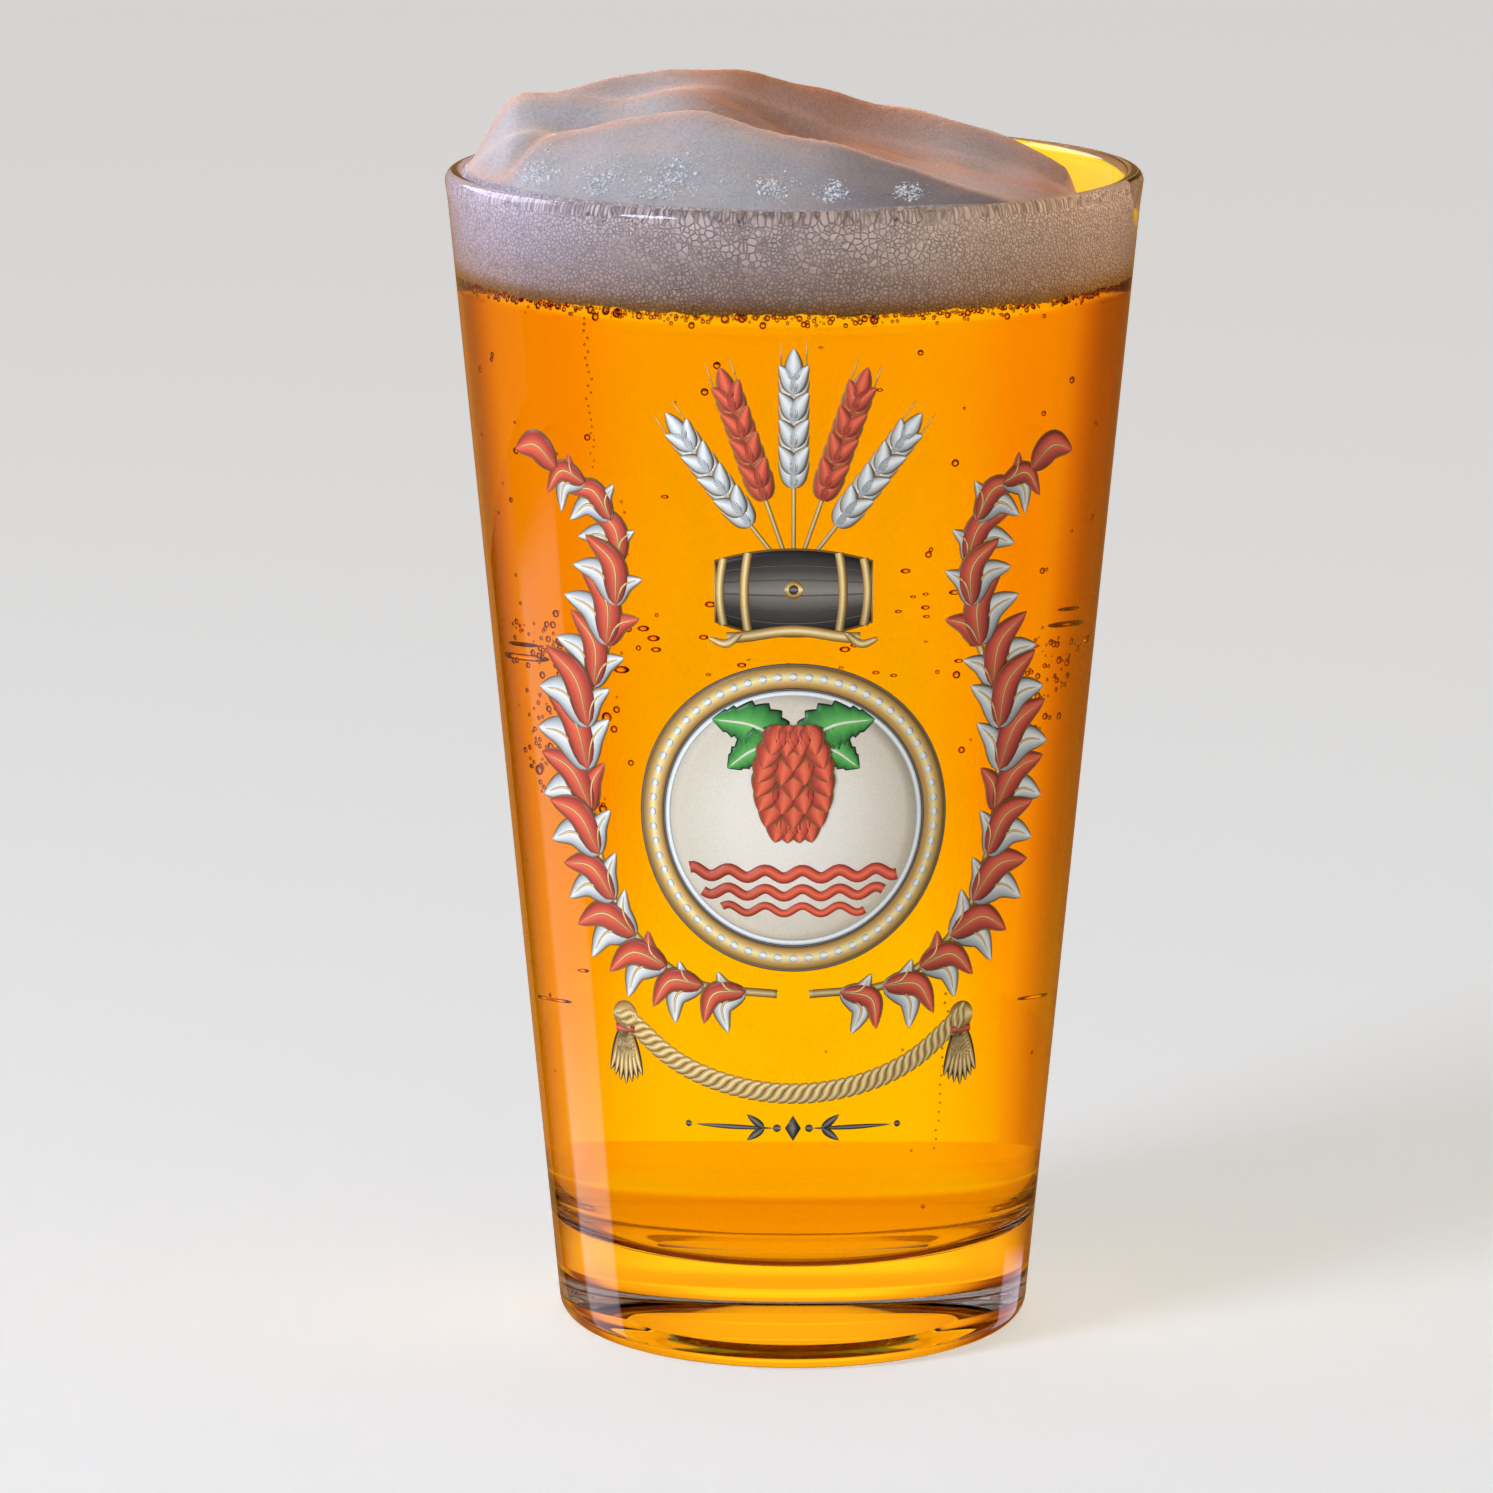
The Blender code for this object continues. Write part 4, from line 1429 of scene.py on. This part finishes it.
    def draw_wreath(self) -> None:
        """Two branches of red leaves, lined with silver ones, that rise round the roundel."""
        rng = np.random.default_rng(2)
        path = (
            (2.0, 50.2), (13, 51.4), (23, 59), (27.6, 72), (27.4, 86), (23.6, 97), (22.6, 106), (26.5, 113.5),
            (32.5, 115.5),
        )
        for side in (-1, 1):
            spine = curve_through([(side * s, t) for s, t in path], 160)
            self.line(Ink.GOLD, spine, 1.1, 1, 0.5)
            way = np.degrees(np.arctan2(*np.gradient(spine, axis=0).T[::-1]))
            places = np.linspace(7, 150, 15).astype(int)
            for k, i in enumerate(places):
                share = k / (len(places) - 1)
                grow = 1.0 - 0.42 * abs(share - 0.5) * 2
                layer = 2 + 4 * (k % 3)
                spot = tuple(spine[i])
                out = -side
                spread = rng.uniform(38, 50)
                length = 12.6 * grow * rng.uniform(0.93, 1.06)
                self.leaf(
                    Ink.SILVER, spot, way[i] + out * (spread + 28), length * 0.84, length * 0.34, layer,
                    -out * 2.0, rng.uniform(0.4, 0.7),
                )
                self.leaf(
                    Ink.RED, spot, way[i] + out * spread, length, length * 0.36, layer + 2, -out * 2.2,
                    rng.uniform(0.35, 0.8),
                )
                inner = 7.4 * grow * rng.uniform(0.9, 1.1)
                self.leaf(
                    Ink.RED if k % 4 == 2 else Ink.SILVER, spot, way[i] - out * rng.uniform(26, 34), inner,
                    inner * 0.4, layer + 1, out * 1.1, rng.uniform(0.5, 0.9),
                )
            self.leaf(Ink.RED, tuple(spine[-1]), way[-1] - side * 8, 8.5, 3.8, 14, side * 1.8, 0.7)

    def draw_cask(self) -> None:
        """A small cask on a gold cradle above the roundel."""
        mid_t, long, tall, bulge = 101.8, 9.6, 3.7, 1.7
        s = np.linspace(-long, long, 33)
        half = tall + bulge * (1 - (s / long) ** 2)
        body = np.column_stack([s, np.full_like(s, mid_t)])
        self.sheets[Ink.GOLD].stroke(body * [1.02, 1], half + 0.25, 6, 0.3, 4)
        self.sheets[Ink.CHARCOAL].stroke(body, half, 7, 0.55, 12)
        for share in (-0.72, -0.4, -0.06, 0.3, 0.64):
            seam = np.column_stack([s, mid_t + half * share])
            self.line(Ink.CHARCOAL, seam, 0.16, 8, 0.0)
        for place in (-0.9, -0.58, 0.58, 0.9):
            at = place * long
            reach = tall + bulge * (1 - place**2) + 0.2
            t = np.linspace(-reach, reach, 15)
            hoop = np.column_stack([at + np.sign(place) * 0.5 * (1 - (t / reach) ** 2), mid_t + t])
            self.line(Ink.GOLD, hoop, 1.1, 9, 0.6)
        self.disc(Ink.GOLD, (0, mid_t + 0.4), 1.15, 9, 0.7)
        self.disc(Ink.CHARCOAL, (0, mid_t + 0.4), 0.6, 10, 0.3)
        cradle = np.column_stack([s * 0.86, mid_t - tall - 1.6 + 0.5 * np.cos(s / long * math.pi)])
        self.line(Ink.GOLD, cradle, 1.4, 10, 0.55)
        for side in (-1, 1):
            foot = curve_through(((side * 6.4, 96.6), (side * 8.4, 95.2), (side * 10.4, 95.8)), 12)
            self.line(Ink.GOLD, foot, 1.1, 11, 0.45, 0.6)

    def draw_barley(self) -> None:
        """A fan of barley ears on tall stalks behind the cask."""
        rows = 8
        for lean, length, ink in ((0, 27.0, Ink.SILVER), (-19, 26.0, Ink.RED), (19, 26.0, Ink.RED),
                                  (-38, 24.0, Ink.SILVER), (38, 24.0, Ink.SILVER)):
            way = np.array([math.sin(math.radians(lean)), math.cos(math.radians(lean))])
            root = np.array([0.0, 103.5])
            tip = root + way * length
            self.line(Ink.GOLD, np.linspace(root, tip, 10), 0.55, 2, 0.4)
            for k in range(rows):
                spot = root + way * (length - 15.5 + 13.5 * k / rows)
                for hand in (-1, 1):
                    turn = 90 - lean + hand * 27
                    self.leaf(
                        ink, tuple(spot), turn, 4.0, 1.8, 3 + 2 * (k % 2), -hand * 0.25, 0.35 + 0.06 * k,
                        Ink.GOLD, None,
                    )
                    out = np.array([math.cos(math.radians(turn)), math.sin(math.radians(turn))])
                    awn = np.linspace(spot + out * 3.4, spot + out * 3.4 + way * 3.6, 5)
                    self.line(Ink.GOLD, awn, 0.2, 2, 0.7, 0.9)
            self.leaf(ink, tuple(tip - way * 2.2), 90 - lean, 4.2, 1.9, 5, 0.0, 0.8, Ink.GOLD, None)

    def draw_tassels(self) -> None:
        """The tassels at the rope's ends, and the small dark divider under the rope."""
        for side in (-1, 1):
            self.disc(Ink.GOLD, (side * 22.6, 45.8), 1.9, 6, 0.5)
            for k in range(7):
                lean = (k - 3) * 7
                self.leaf(
                    Ink.GOLD, (side * 22.6, 44.8), -90 + lean, 8.2 - abs(k - 3) * 0.35, 1.25, 4, 0.0,
                    0.3 + 0.1 * k, Ink.CHARCOAL, None,
                )
            self.line(Ink.RED, np.array([(side * 21.1, 44.0), (side * 24.1, 44.0)]), 0.9, 8, 0.7)
            self.line(
                Ink.CHARCOAL, np.column_stack([side * np.linspace(2.4, 12.5, 24), np.full(24, 32.6)]),
                0.62, 1, 0.2, 1.0,
            )
            for at, radius in ((2.0, 0.5), (13.4, 0.42)):
                self.disc(Ink.CHARCOAL, (side * at, 32.6), radius, 1, 0.2)
            self.leaf(Ink.CHARCOAL, (side * 3.6, 32.6), 90 - side * 52, 2.8, 1.0, 1, 0.0, 0.3, None, None)
            self.leaf(Ink.CHARCOAL, (side * 3.6, 32.6), -90 + side * 52, 2.8, 1.0, 1, 0.0, 0.3, None, None)
        diamond = np.array([(0, 30.9), (0, 32.6), (0, 34.3)])
        self.sheets[Ink.CHARCOAL].stroke(diamond, np.array([0.0, 1.0, 0.0]), 1, 0.2, 2)

    def wrap_tree(self) -> bpy.types.NodeTree:
        """The tree that lays the flat print on the cone of the glass."""
        tree, start, end = new_geometry_tree("lay_on_the_cone", {
            "Foot radius": "NodeSocketFloat", "Slope": "NodeSocketFloat", "Material": "NodeSocketMaterial",
        })
        merged = add_node(
            tree, "GeometryNodeMergeByDistance",
            inputs={"Geometry": start.outputs["Geometry"], "Distance": 0.0005 * MM},
        )
        flat = add_node(
            tree, "ShaderNodeSeparateXYZ", inputs={0: add_node(tree, "GeometryNodeInputPosition")}
        )
        radius = add_node(
            tree, "ShaderNodeMath", {"operation": "MULTIPLY_ADD"},
            {0: flat.outputs["Z"], 1: start.outputs["Slope"], 2: start.outputs["Foot radius"]},
        )
        angle = add_node(tree, "ShaderNodeMath", {"operation": "DIVIDE"}, {0: flat.outputs["X"], 1: radius})
        proud = add_node(tree, "ShaderNodeMath", {"operation": "ADD"}, {0: radius, 1: flat.outputs["Y"]})
        parts = []
        for operation, sign in (("SINE", 1.0), ("COSINE", -1.0)):
            part = add_node(tree, "ShaderNodeMath", {"operation": operation}, {0: angle})
            signed = add_node(tree, "ShaderNodeMath", {"operation": "MULTIPLY"}, {0: part, 1: sign})
            parts.append(add_node(tree, "ShaderNodeMath", {"operation": "MULTIPLY"}, {0: signed, 1: proud}))
        place = add_node(
            tree, "ShaderNodeCombineXYZ", inputs={"X": parts[0], "Y": parts[1], "Z": flat.outputs["Z"]}
        )
        moved = add_node(tree, "GeometryNodeSetPosition", inputs={"Geometry": merged, "Position": place})
        end_geometry_tree(tree, start, end, moved)
        return tree

    def repeat_tree(self) -> bpy.types.NodeTree:
        """The tree that sets a flat motif at even steps along a line, each turned along it."""
        tree, start, end = new_geometry_tree("repeat_along_a_line", {
            "Motif": "NodeSocketObject", "Count": "NodeSocketInt", "Material": "NodeSocketMaterial",
        })
        curve = add_node(tree, "GeometryNodeMeshToCurve", inputs={"Mesh": start.outputs["Geometry"]})
        points = add_node(
            tree, "GeometryNodeCurveToPoints", {"mode": "COUNT"},
            {"Curve": curve, "Count": start.outputs["Count"]},
        )
        turned = add_node(
            tree, "FunctionNodeAlignRotationToVector", {"axis": "X", "pivot_axis": "Y"},
            {"Vector": points.outputs["Tangent"]},
        )
        motif = add_node(tree, "GeometryNodeObjectInfo", inputs={"Object": start.outputs["Motif"]})
        placed = add_node(
            tree, "GeometryNodeInstanceOnPoints",
            inputs={"Points": points.outputs["Points"], "Instance": motif.outputs["Geometry"],
                    "Rotation": turned},
        )
        end_geometry_tree(tree, start, end, placed)
        return tree

    def flat_mesh(self, name: str, sheet: Sheet) -> bpy.types.Mesh:
        """The mesh of a sheet of strokes in the print's plane.

        Args:
            name: the mesh's name.
            sheet: the strokes.

        Returns:
            A mesh in metres, with s as x, the lift off the glass as y and t as z.
        """
        points = np.array(sheet.points, float)
        lift = self.first_lift + points[:, 1] * self.layer_lift
        mesh = mesh_of(name, np.column_stack([points[:, 0] * MM, lift, points[:, 2] * MM]), faces=sheet.faces)
        give_values(mesh, "tone", np.array(sheet.tones))
        uv = mesh.uv_layers.new(name="stroke")
        corners = np.empty(len(mesh.loops), np.int32)
        mesh.loops.foreach_get("vertex_index", corners)
        uv.data.foreach_set("uv", np.array(sheet.strokes, np.float32)[corners].ravel())
        return mesh

    def repeated(self, name: str, motif: Sheet, spine: Points, count: int, layer: int) -> bpy.types.Mesh:
        """Repeats a motif along a line in the print's plane.

        Args:
            name: the name of the result.
            motif: strokes drawn round the plane's origin.
            spine: the line, in mm.
            count: how many motifs.
            layer: how many enamels lie under them.

        Returns:
            The flat mesh of all of them.
        """
        source = bpy.data.objects.new(name + "_motif", self.flat_mesh(name + "_motif", motif))
        bpy.context.scene.collection.objects.link(source)
        rail = np.column_stack([spine[:, 0], np.full(len(spine), layer * self.layer_lift / MM), spine[:, 1]])
        edges = [(i, i + 1) for i in range(len(rail) - 1)]
        flat = run_tree(
            name, mesh_of(name + "_rail", rail * MM, edges=edges), self.repeat_tree(),
            {"Motif": source, "Count": count},
        )
        mesh = flat.data
        bpy.data.objects.remove(flat)
        bpy.data.objects.remove(source)
        return mesh

    def lay(self, name: str, mesh: bpy.types.Mesh, ink: Ink, tree: bpy.types.NodeTree) -> bpy.types.Object:
        """Lays a flat mesh on the glass as a piece of one enamel."""
        mesh.materials.clear()
        piece = run_tree(name, mesh, tree, {
            "Foot radius": self.glass.foot_radius, "Slope": self.glass.slope,
            "Material": GlassEnamel(ink).material(),
        }, self.thickness)
        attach(piece, "root")
        return piece

    def build(self) -> list[bpy.types.Object]:
        """Draws the ornament, lays it on the glass and puts it in the frame."""
        self.draw_wreath()
        self.draw_roundel()
        self.draw_hop()
        self.draw_barley()
        self.draw_cask()
        self.draw_tassels()
        wrap = self.wrap_tree()
        pieces = [
            self.lay("print_" + ink.name.lower(), self.flat_mesh(ink.name.lower(), sheet), ink, wrap)
            for ink, sheet in self.sheets.items()
        ]
        strand = Sheet()
        lay = np.array([(-1.35, -1.15), (-0.5, -0.75), (0.5, 0.75), (1.35, 1.15)])
        strand.stroke(curve_through(lay, 12), 0.62 * np.sin(np.linspace(0.12, math.pi - 0.12, 12)) ** 0.5, 0, 0.6)
        swag = curve_through(((-22.6, 45.8), (-14.5, 40.4), (0, 37.2), (14.5, 40.4), (22.6, 45.8)), 60)
        rope = self.repeated("rope", strand, swag, 42, 6)
        pieces.append(self.lay("print_rope", rope, Ink.GOLD, wrap))
        bead = Sheet()
        x = -np.cos(np.linspace(0, math.pi, 9))
        bead.stroke(np.column_stack([x * 0.5, x * 0]), np.sqrt(np.maximum(1 - x * x, 0)) * 0.5, 0, 0.9)
        loop = circle_line(self.roundel, self.roundel_radius - 1.45, 0, 354, 180)
        beads = self.repeated("beads", bead, loop, 60, 5)
        pieces.append(self.lay("print_beads", beads, Ink.SILVER, wrap))
        return pieces


# The studio


@dataclass
class Studio:
    """A plain pale floor, soft lights and the camera at the photograph's viewing angle."""

    focal_length: float = 187.3  # mm on a 36 mm sensor
    camera_place: tuple[float, float, float] = (0.0, -0.9758, 0.2713)
    looks_down: float = 11.395
    turned_left: float = 0.353
    floor_size: float = 12.0
    lit_from_behind: Any = None  # the collection that the warm light from behind falls on

    def camera(self) -> None:
        """Sets up the camera."""
        data = bpy.data.cameras.new("camera")
        data.sensor_width = 36.0
        data.lens = self.focal_length
        data.clip_start = 0.01
        camera = bpy.data.objects.new("camera", data)
        camera.location = self.camera_place
        camera.rotation_euler = (math.radians(90 - self.looks_down), 0.0, math.radians(self.turned_left))
        bpy.context.scene.collection.objects.link(camera)
        bpy.context.scene.camera = camera

    def floor(self) -> None:
        """Lays the paper that the glass stands on."""
        half = self.floor_size / 2
        corners = np.array([(-half, -half), (half, -half), (half, half), (-half, half)])
        mesh = mesh_of("floor", np.column_stack([corners, np.full(4, -0.05 * MM)]), faces=[(0, 1, 2, 3)])
        mesh.materials.append(StudioPaper().material())
        floor = bpy.data.objects.new("floor", mesh)
        bpy.context.scene.collection.objects.link(floor)
        floor.visible_glossy = False
        floor.visible_transmission = False

    def card(
        self, name: str, mesh: bpy.types.Mesh, strength: float, seen: str, stops: Iterable[tuple[float, str]]
    ) -> None:
        """Adds a glowing reflector card that only the glass and the beer show.

        Args:
            name: its name.
            mesh: its shape, with how bright it is under the name glow.
            strength: its brightness where glow is 1.
            seen: transmission if it is seen through the glass, glossy if it is mirrored in it, or foam if
                it only lights the foam through the glass.
            stops: its hex colours from where glow is 0 to where it is 1.
        """
        material, tree, out = new_material(name)
        glow = add_node(tree, "ShaderNodeAttribute", {"attribute_name": "glow"}).outputs["Fac"]
        light = add_node(
            tree, "ShaderNodeEmission",
            inputs={"Color": add_node(tree, "ShaderNodeValToRGB", {}, {"Fac": glow}, stops),
                    "Strength": strength},
        )
        if seen == "foam":
            bounces = add_node(tree, "ShaderNodeLightPath").outputs["Diffuse Depth"]
            after = add_node(tree, "ShaderNodeMath", {"operation": "MINIMUM"}, {0: bounces, 1: 1.0})
            clear = add_node(tree, "ShaderNodeBsdfTransparent")
            light = add_node(tree, "ShaderNodeMixShader", inputs={0: after, 1: clear, 2: light})
        tree.links.new(light.outputs[0], out.inputs["Surface"])
        mesh.materials.append(material)
        card = bpy.data.objects.new(name, mesh)
        bpy.context.scene.collection.objects.link(card)
        card.visible_camera = card.visible_diffuse = card.visible_shadow = card.visible_volume_scatter = False
        card.visible_glossy = seen == "glossy"
        card.visible_transmission = seen != "glossy"

    def card_mesh(
        self, name: str, inner: tuple[float, float], outer: tuple[float, float], angles: Points, glow: Any,
        mirrored: bool = False,
    ) -> bpy.types.Mesh:
        """A part of a ring or of a drum round the glass.

        Args:
            name: the mesh's name.
            inner: radius and height of one edge.
            outer: radius and height of the other edge.
            angles: directions in degrees, 0 straight behind the glass and 90 to the right.
            glow: gives the brightness from the share of the way between the edges, a direction, and
                how many degrees above the middle of the glass a place is.
            mirrored: whether each direction starts where the camera sees it mirrored in the glass.

        Returns:
            The mesh.
        """
        a, share = np.meshgrid(angles, np.linspace(0, 1, 41), indexing="ij")
        r = inner[0] + (outer[0] - inner[0]) * share
        z = inner[1] + (outer[1] - inner[1]) * share
        start = a / 2 + 90 * np.sign(a) if mirrored else a
        x = np.sin(np.radians(start)) * inner[0] + np.sin(np.radians(a)) * (r - inner[0])
        y = np.cos(np.radians(start)) * inner[0] + np.cos(np.radians(a)) * (r - inner[0])
        rows, columns = a.shape
        faces = [
            (i * columns + j, i * columns + j + 1, (i + 1) * columns + j + 1, (i + 1) * columns + j)
            for i in range(rows - 1) for j in range(columns - 1)
        ]
        mesh = mesh_of(name, np.column_stack([x.ravel(), y.ravel(), z.ravel()]), faces=faces)
        give_values(mesh, "glow", glow(share, a, np.degrees(np.arctan2(z - 0.09, r))).ravel())
        return mesh

    def reflectors(self) -> None:
        """The cards: drums that only show through the glass, and strips that only mirror in it."""
        def behind(share: Points, a: Points, tilt: Points) -> Points:
            """Bright straight behind, flagged off towards both sides, and yellowest a little way down."""
            side, right, below = np.abs(a), a > 0, -tilt
            dark = ramp(side, 25 + 9 * right, 45 + 7 * right) * (1 - ramp(side, 60 - 6 * right, 70 - 6 * right))
            flag = 0.15 * ramp(side, 8, 30) + 0.49 * dark + 0.2 * ramp(side, 60, 72)
            flag = flag * (1 - 0.5 * ramp(below, 10, 15))
            low_down = 1 - ramp(side, 68, 86) * ramp(below, 13, 18)
            level = 0.92 + 0.02 * ramp(below, 2, 5) + 0.06 * ramp(below, 9, 12)
            return (1 - flag) * low_down * (level - 0.08 * ramp(tilt, 1, 5))

        def beside(share: Points, a: Points, tilt: Points) -> Points:
            """Brightest towards both sides."""
            return ramp(tilt, -30, 0) * (0.09 + 0.91 * ramp(np.abs(a - 180), 42, 90))

        def before(share: Points, a: Points, tilt: Points) -> Points:
            """What a view from another side sees through the beer, meeting the back drum in one tone."""
            level = 0.6 + 0.32 * ramp(90 - np.abs(a - 180), 0, 35)
            return level * ramp(tilt, -18, -14) * (1 - 0.4 * ramp(tilt, 1, 5))

        def strip(share: Points, a: Points, tilt: Points) -> Points:
            """Strong near the glass's foot, fading at its far end, and with a weak stretch beside it."""
            strong = ramp(a, -84, -82) * (1 - ramp(a, -58, -54)) * (1 - 0.62 * ramp(share, 0.06, 0.34))
            weak = 0.05 * ramp(a, -58, -54) * (1 - ramp(a, -40, -30))
            return strong * (1 - ramp(share, 0.74, 0.86)) + weak

        def table(share: Points, a: Points, tilt: Points) -> Points:
            """The table close to the glass: lit through its underside, and in its shade just behind it."""
            side = np.minimum(a, 360 - a)
            r_mm = share * 145.0
            level = 0.86 - 0.065 * ramp(r_mm, 33.0, 36.0) + 0.12 * ramp(r_mm, 57.0, 67.0)
            return level * (1 - 0.07 * ramp(side, 5, 20) - 0.65 * ramp(side, 22, 62))

        def foot(share: Points, a: Points, tilt: Points) -> Points:
            """Fading away from the glass."""
            return (1 - ramp(share, 0.6, 1.0)) * ramp(a, 28, 32) * (1 - ramp(a, 54, 57))

        def edges(share: Points, a: Points, tilt: Points) -> Points:
            """What the glass's edges mirror, weaker on the right."""
            return 1 - 0.75 * ramp(a, 0, 30)

        def even(share: Points, a: Points, tilt: Points) -> Points:
            """The same everywhere."""
            return np.ones_like(a)

        near, far = 0.75, 0.8
        amber = ("#000000", "#84340A", "#D4780E", "#F8A010", "#FFD81C")
        amber_stops = tuple(zip((0.0, 0.3, 0.6, 0.85, 1.0), amber))
        lilac = ((0.0, "#000000"), (1.0, "#EFE6FF"))
        for name, inner, outer, angles, glow, strength, seen, stops in (
            ("back_drum", (far, -0.8), (far, 1.0), (-90, 90), behind, 1.34, "transmission", amber_stops),
            ("front_drum", (far, -0.8), (far, 1.0), (90, 270), before, 1.34, "transmission", amber_stops),
            ("cool_drum", (near, -0.8), (near, 1.0), (180, 290), beside, 8.0, "foam",
             ((0.0, "#000000"), (1.0, "#F1EDFF"))),
            ("warm_drum", (near, -0.8), (near, 1.0), (70, 180), beside, 8.0, "foam",
             ((0.0, "#000000"), (1.0, "#FFE6CC"))),
            ("table_card", (0.0, -1.0 * MM), (0.145, -1.0 * MM), (0, 360), table, 1.34, "transmission", amber_stops),
            ("strip_card", (0.032, 0.2 * MM), (0.5, 0.2 * MM), (-86, -26), strip, 1.9, "glossy", lilac),
            ("foot_card", (0.0305, 0.2 * MM), (0.066, 0.2 * MM), (26, 58), foot, 1.3, "glossy", lilac),
            ("rim_card", (0.7, 0.35), (0.55, 0.7), (285, 330), even, 4.0, "glossy", lilac),
            ("edge_drum", (near, -0.5), (near, 1.0), (-75, 75), edges, 0.75, "glossy",
             ((0.0, "#000000"), (1.0, "#B98A50"))),
        ):
            lying = name in ("strip_card", "foot_card")
            mesh = self.card_mesh(name, inner, outer, np.arange(angles[0], angles[1] + 1.0), glow, lying)
            self.card(name, mesh, strength, seen, stops)

    def lights(self) -> None:
        """Sets up the soft boxes and the pale surroundings."""
        target = Vector((0, 0, 0.09))
        boxes = (
            ("warm_top_box", (0.0, 0.7, 0.9), 0.7, 8.4, "#FFE0CC"),
            ("left_box", (-0.8, -0.7, 0.5), 0.4, 7.3, "#DCE8FF"),
            ("warm_back_box", (-0.2, 1.0, 0.5), 0.35, 13.0, "#FFB484"),
        )
        for name, place, size, power, code in boxes:
            data = bpy.data.lights.new(name, "AREA")
            data.shape = "DISK"
            data.size = size
            data.energy = power
            data.color = linear(code)[:3]
            light = bpy.data.objects.new(name, data)
            light.location = place
            light.rotation_euler = (target - Vector(place)).to_track_quat("-Z", "Y").to_euler()
            light.visible_camera = False
            bpy.context.scene.collection.objects.link(light)
            if name.startswith("warm"):
                light.visible_glossy = light.visible_transmission = False
                light.light_linking.receiver_collection = self.lit_from_behind
        world = bpy.data.worlds.new("studio")
        world.use_nodes = True
        tree = world.node_tree
        tree.nodes.clear()
        air = add_node(tree, "ShaderNodeBackground", inputs={"Color": linear("#F3F2F1"), "Strength": 0.27})
        out = add_node(tree, "ShaderNodeOutputWorld", inputs={"Surface": air})
        out.is_active_output = True
        world.cycles_visibility.glossy = False
        bpy.context.scene.world = world

    def build(self) -> None:
        """Sets up everything that isn't part of the object."""
        self.lit_from_behind = bpy.data.collections.new("lit_from_behind")
        self.camera()
        self.floor()
        self.reflectors()
        self.lights()
        scene = bpy.context.scene
        scene.view_settings.view_transform = "Standard"
        scene.cycles.adaptive_threshold = 0.04
        scene.cycles.max_bounces = 28
        scene.cycles.transmission_bounces = 24
        scene.cycles.glossy_bounces = 12
        scene.cycles.blur_glossy = 0.5
        scene.cycles.sample_clamp_indirect = 6.0


def main() -> None:
    """Builds the object round the frame, and the studio round the object."""
    logging.basicConfig(level=logging.INFO, format="%(message)s")
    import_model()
    studio = Studio()
    studio.build()
    glass = PintGlass()
    head = FoamHead(glass)
    pieces = [glass.build(), Beer(glass).build(), head.build()]
    pieces += Bubbles(glass).build(head)
    pieces += PrintedDecoration(glass).build()
    for piece in pieces:
        if "foam" in piece.name:
            studio.lit_from_behind.objects.link(piece)
        LOG.info("%s: %d faces", piece.name, len(piece.data.polygons))


if __name__ == "__main__":
    main()
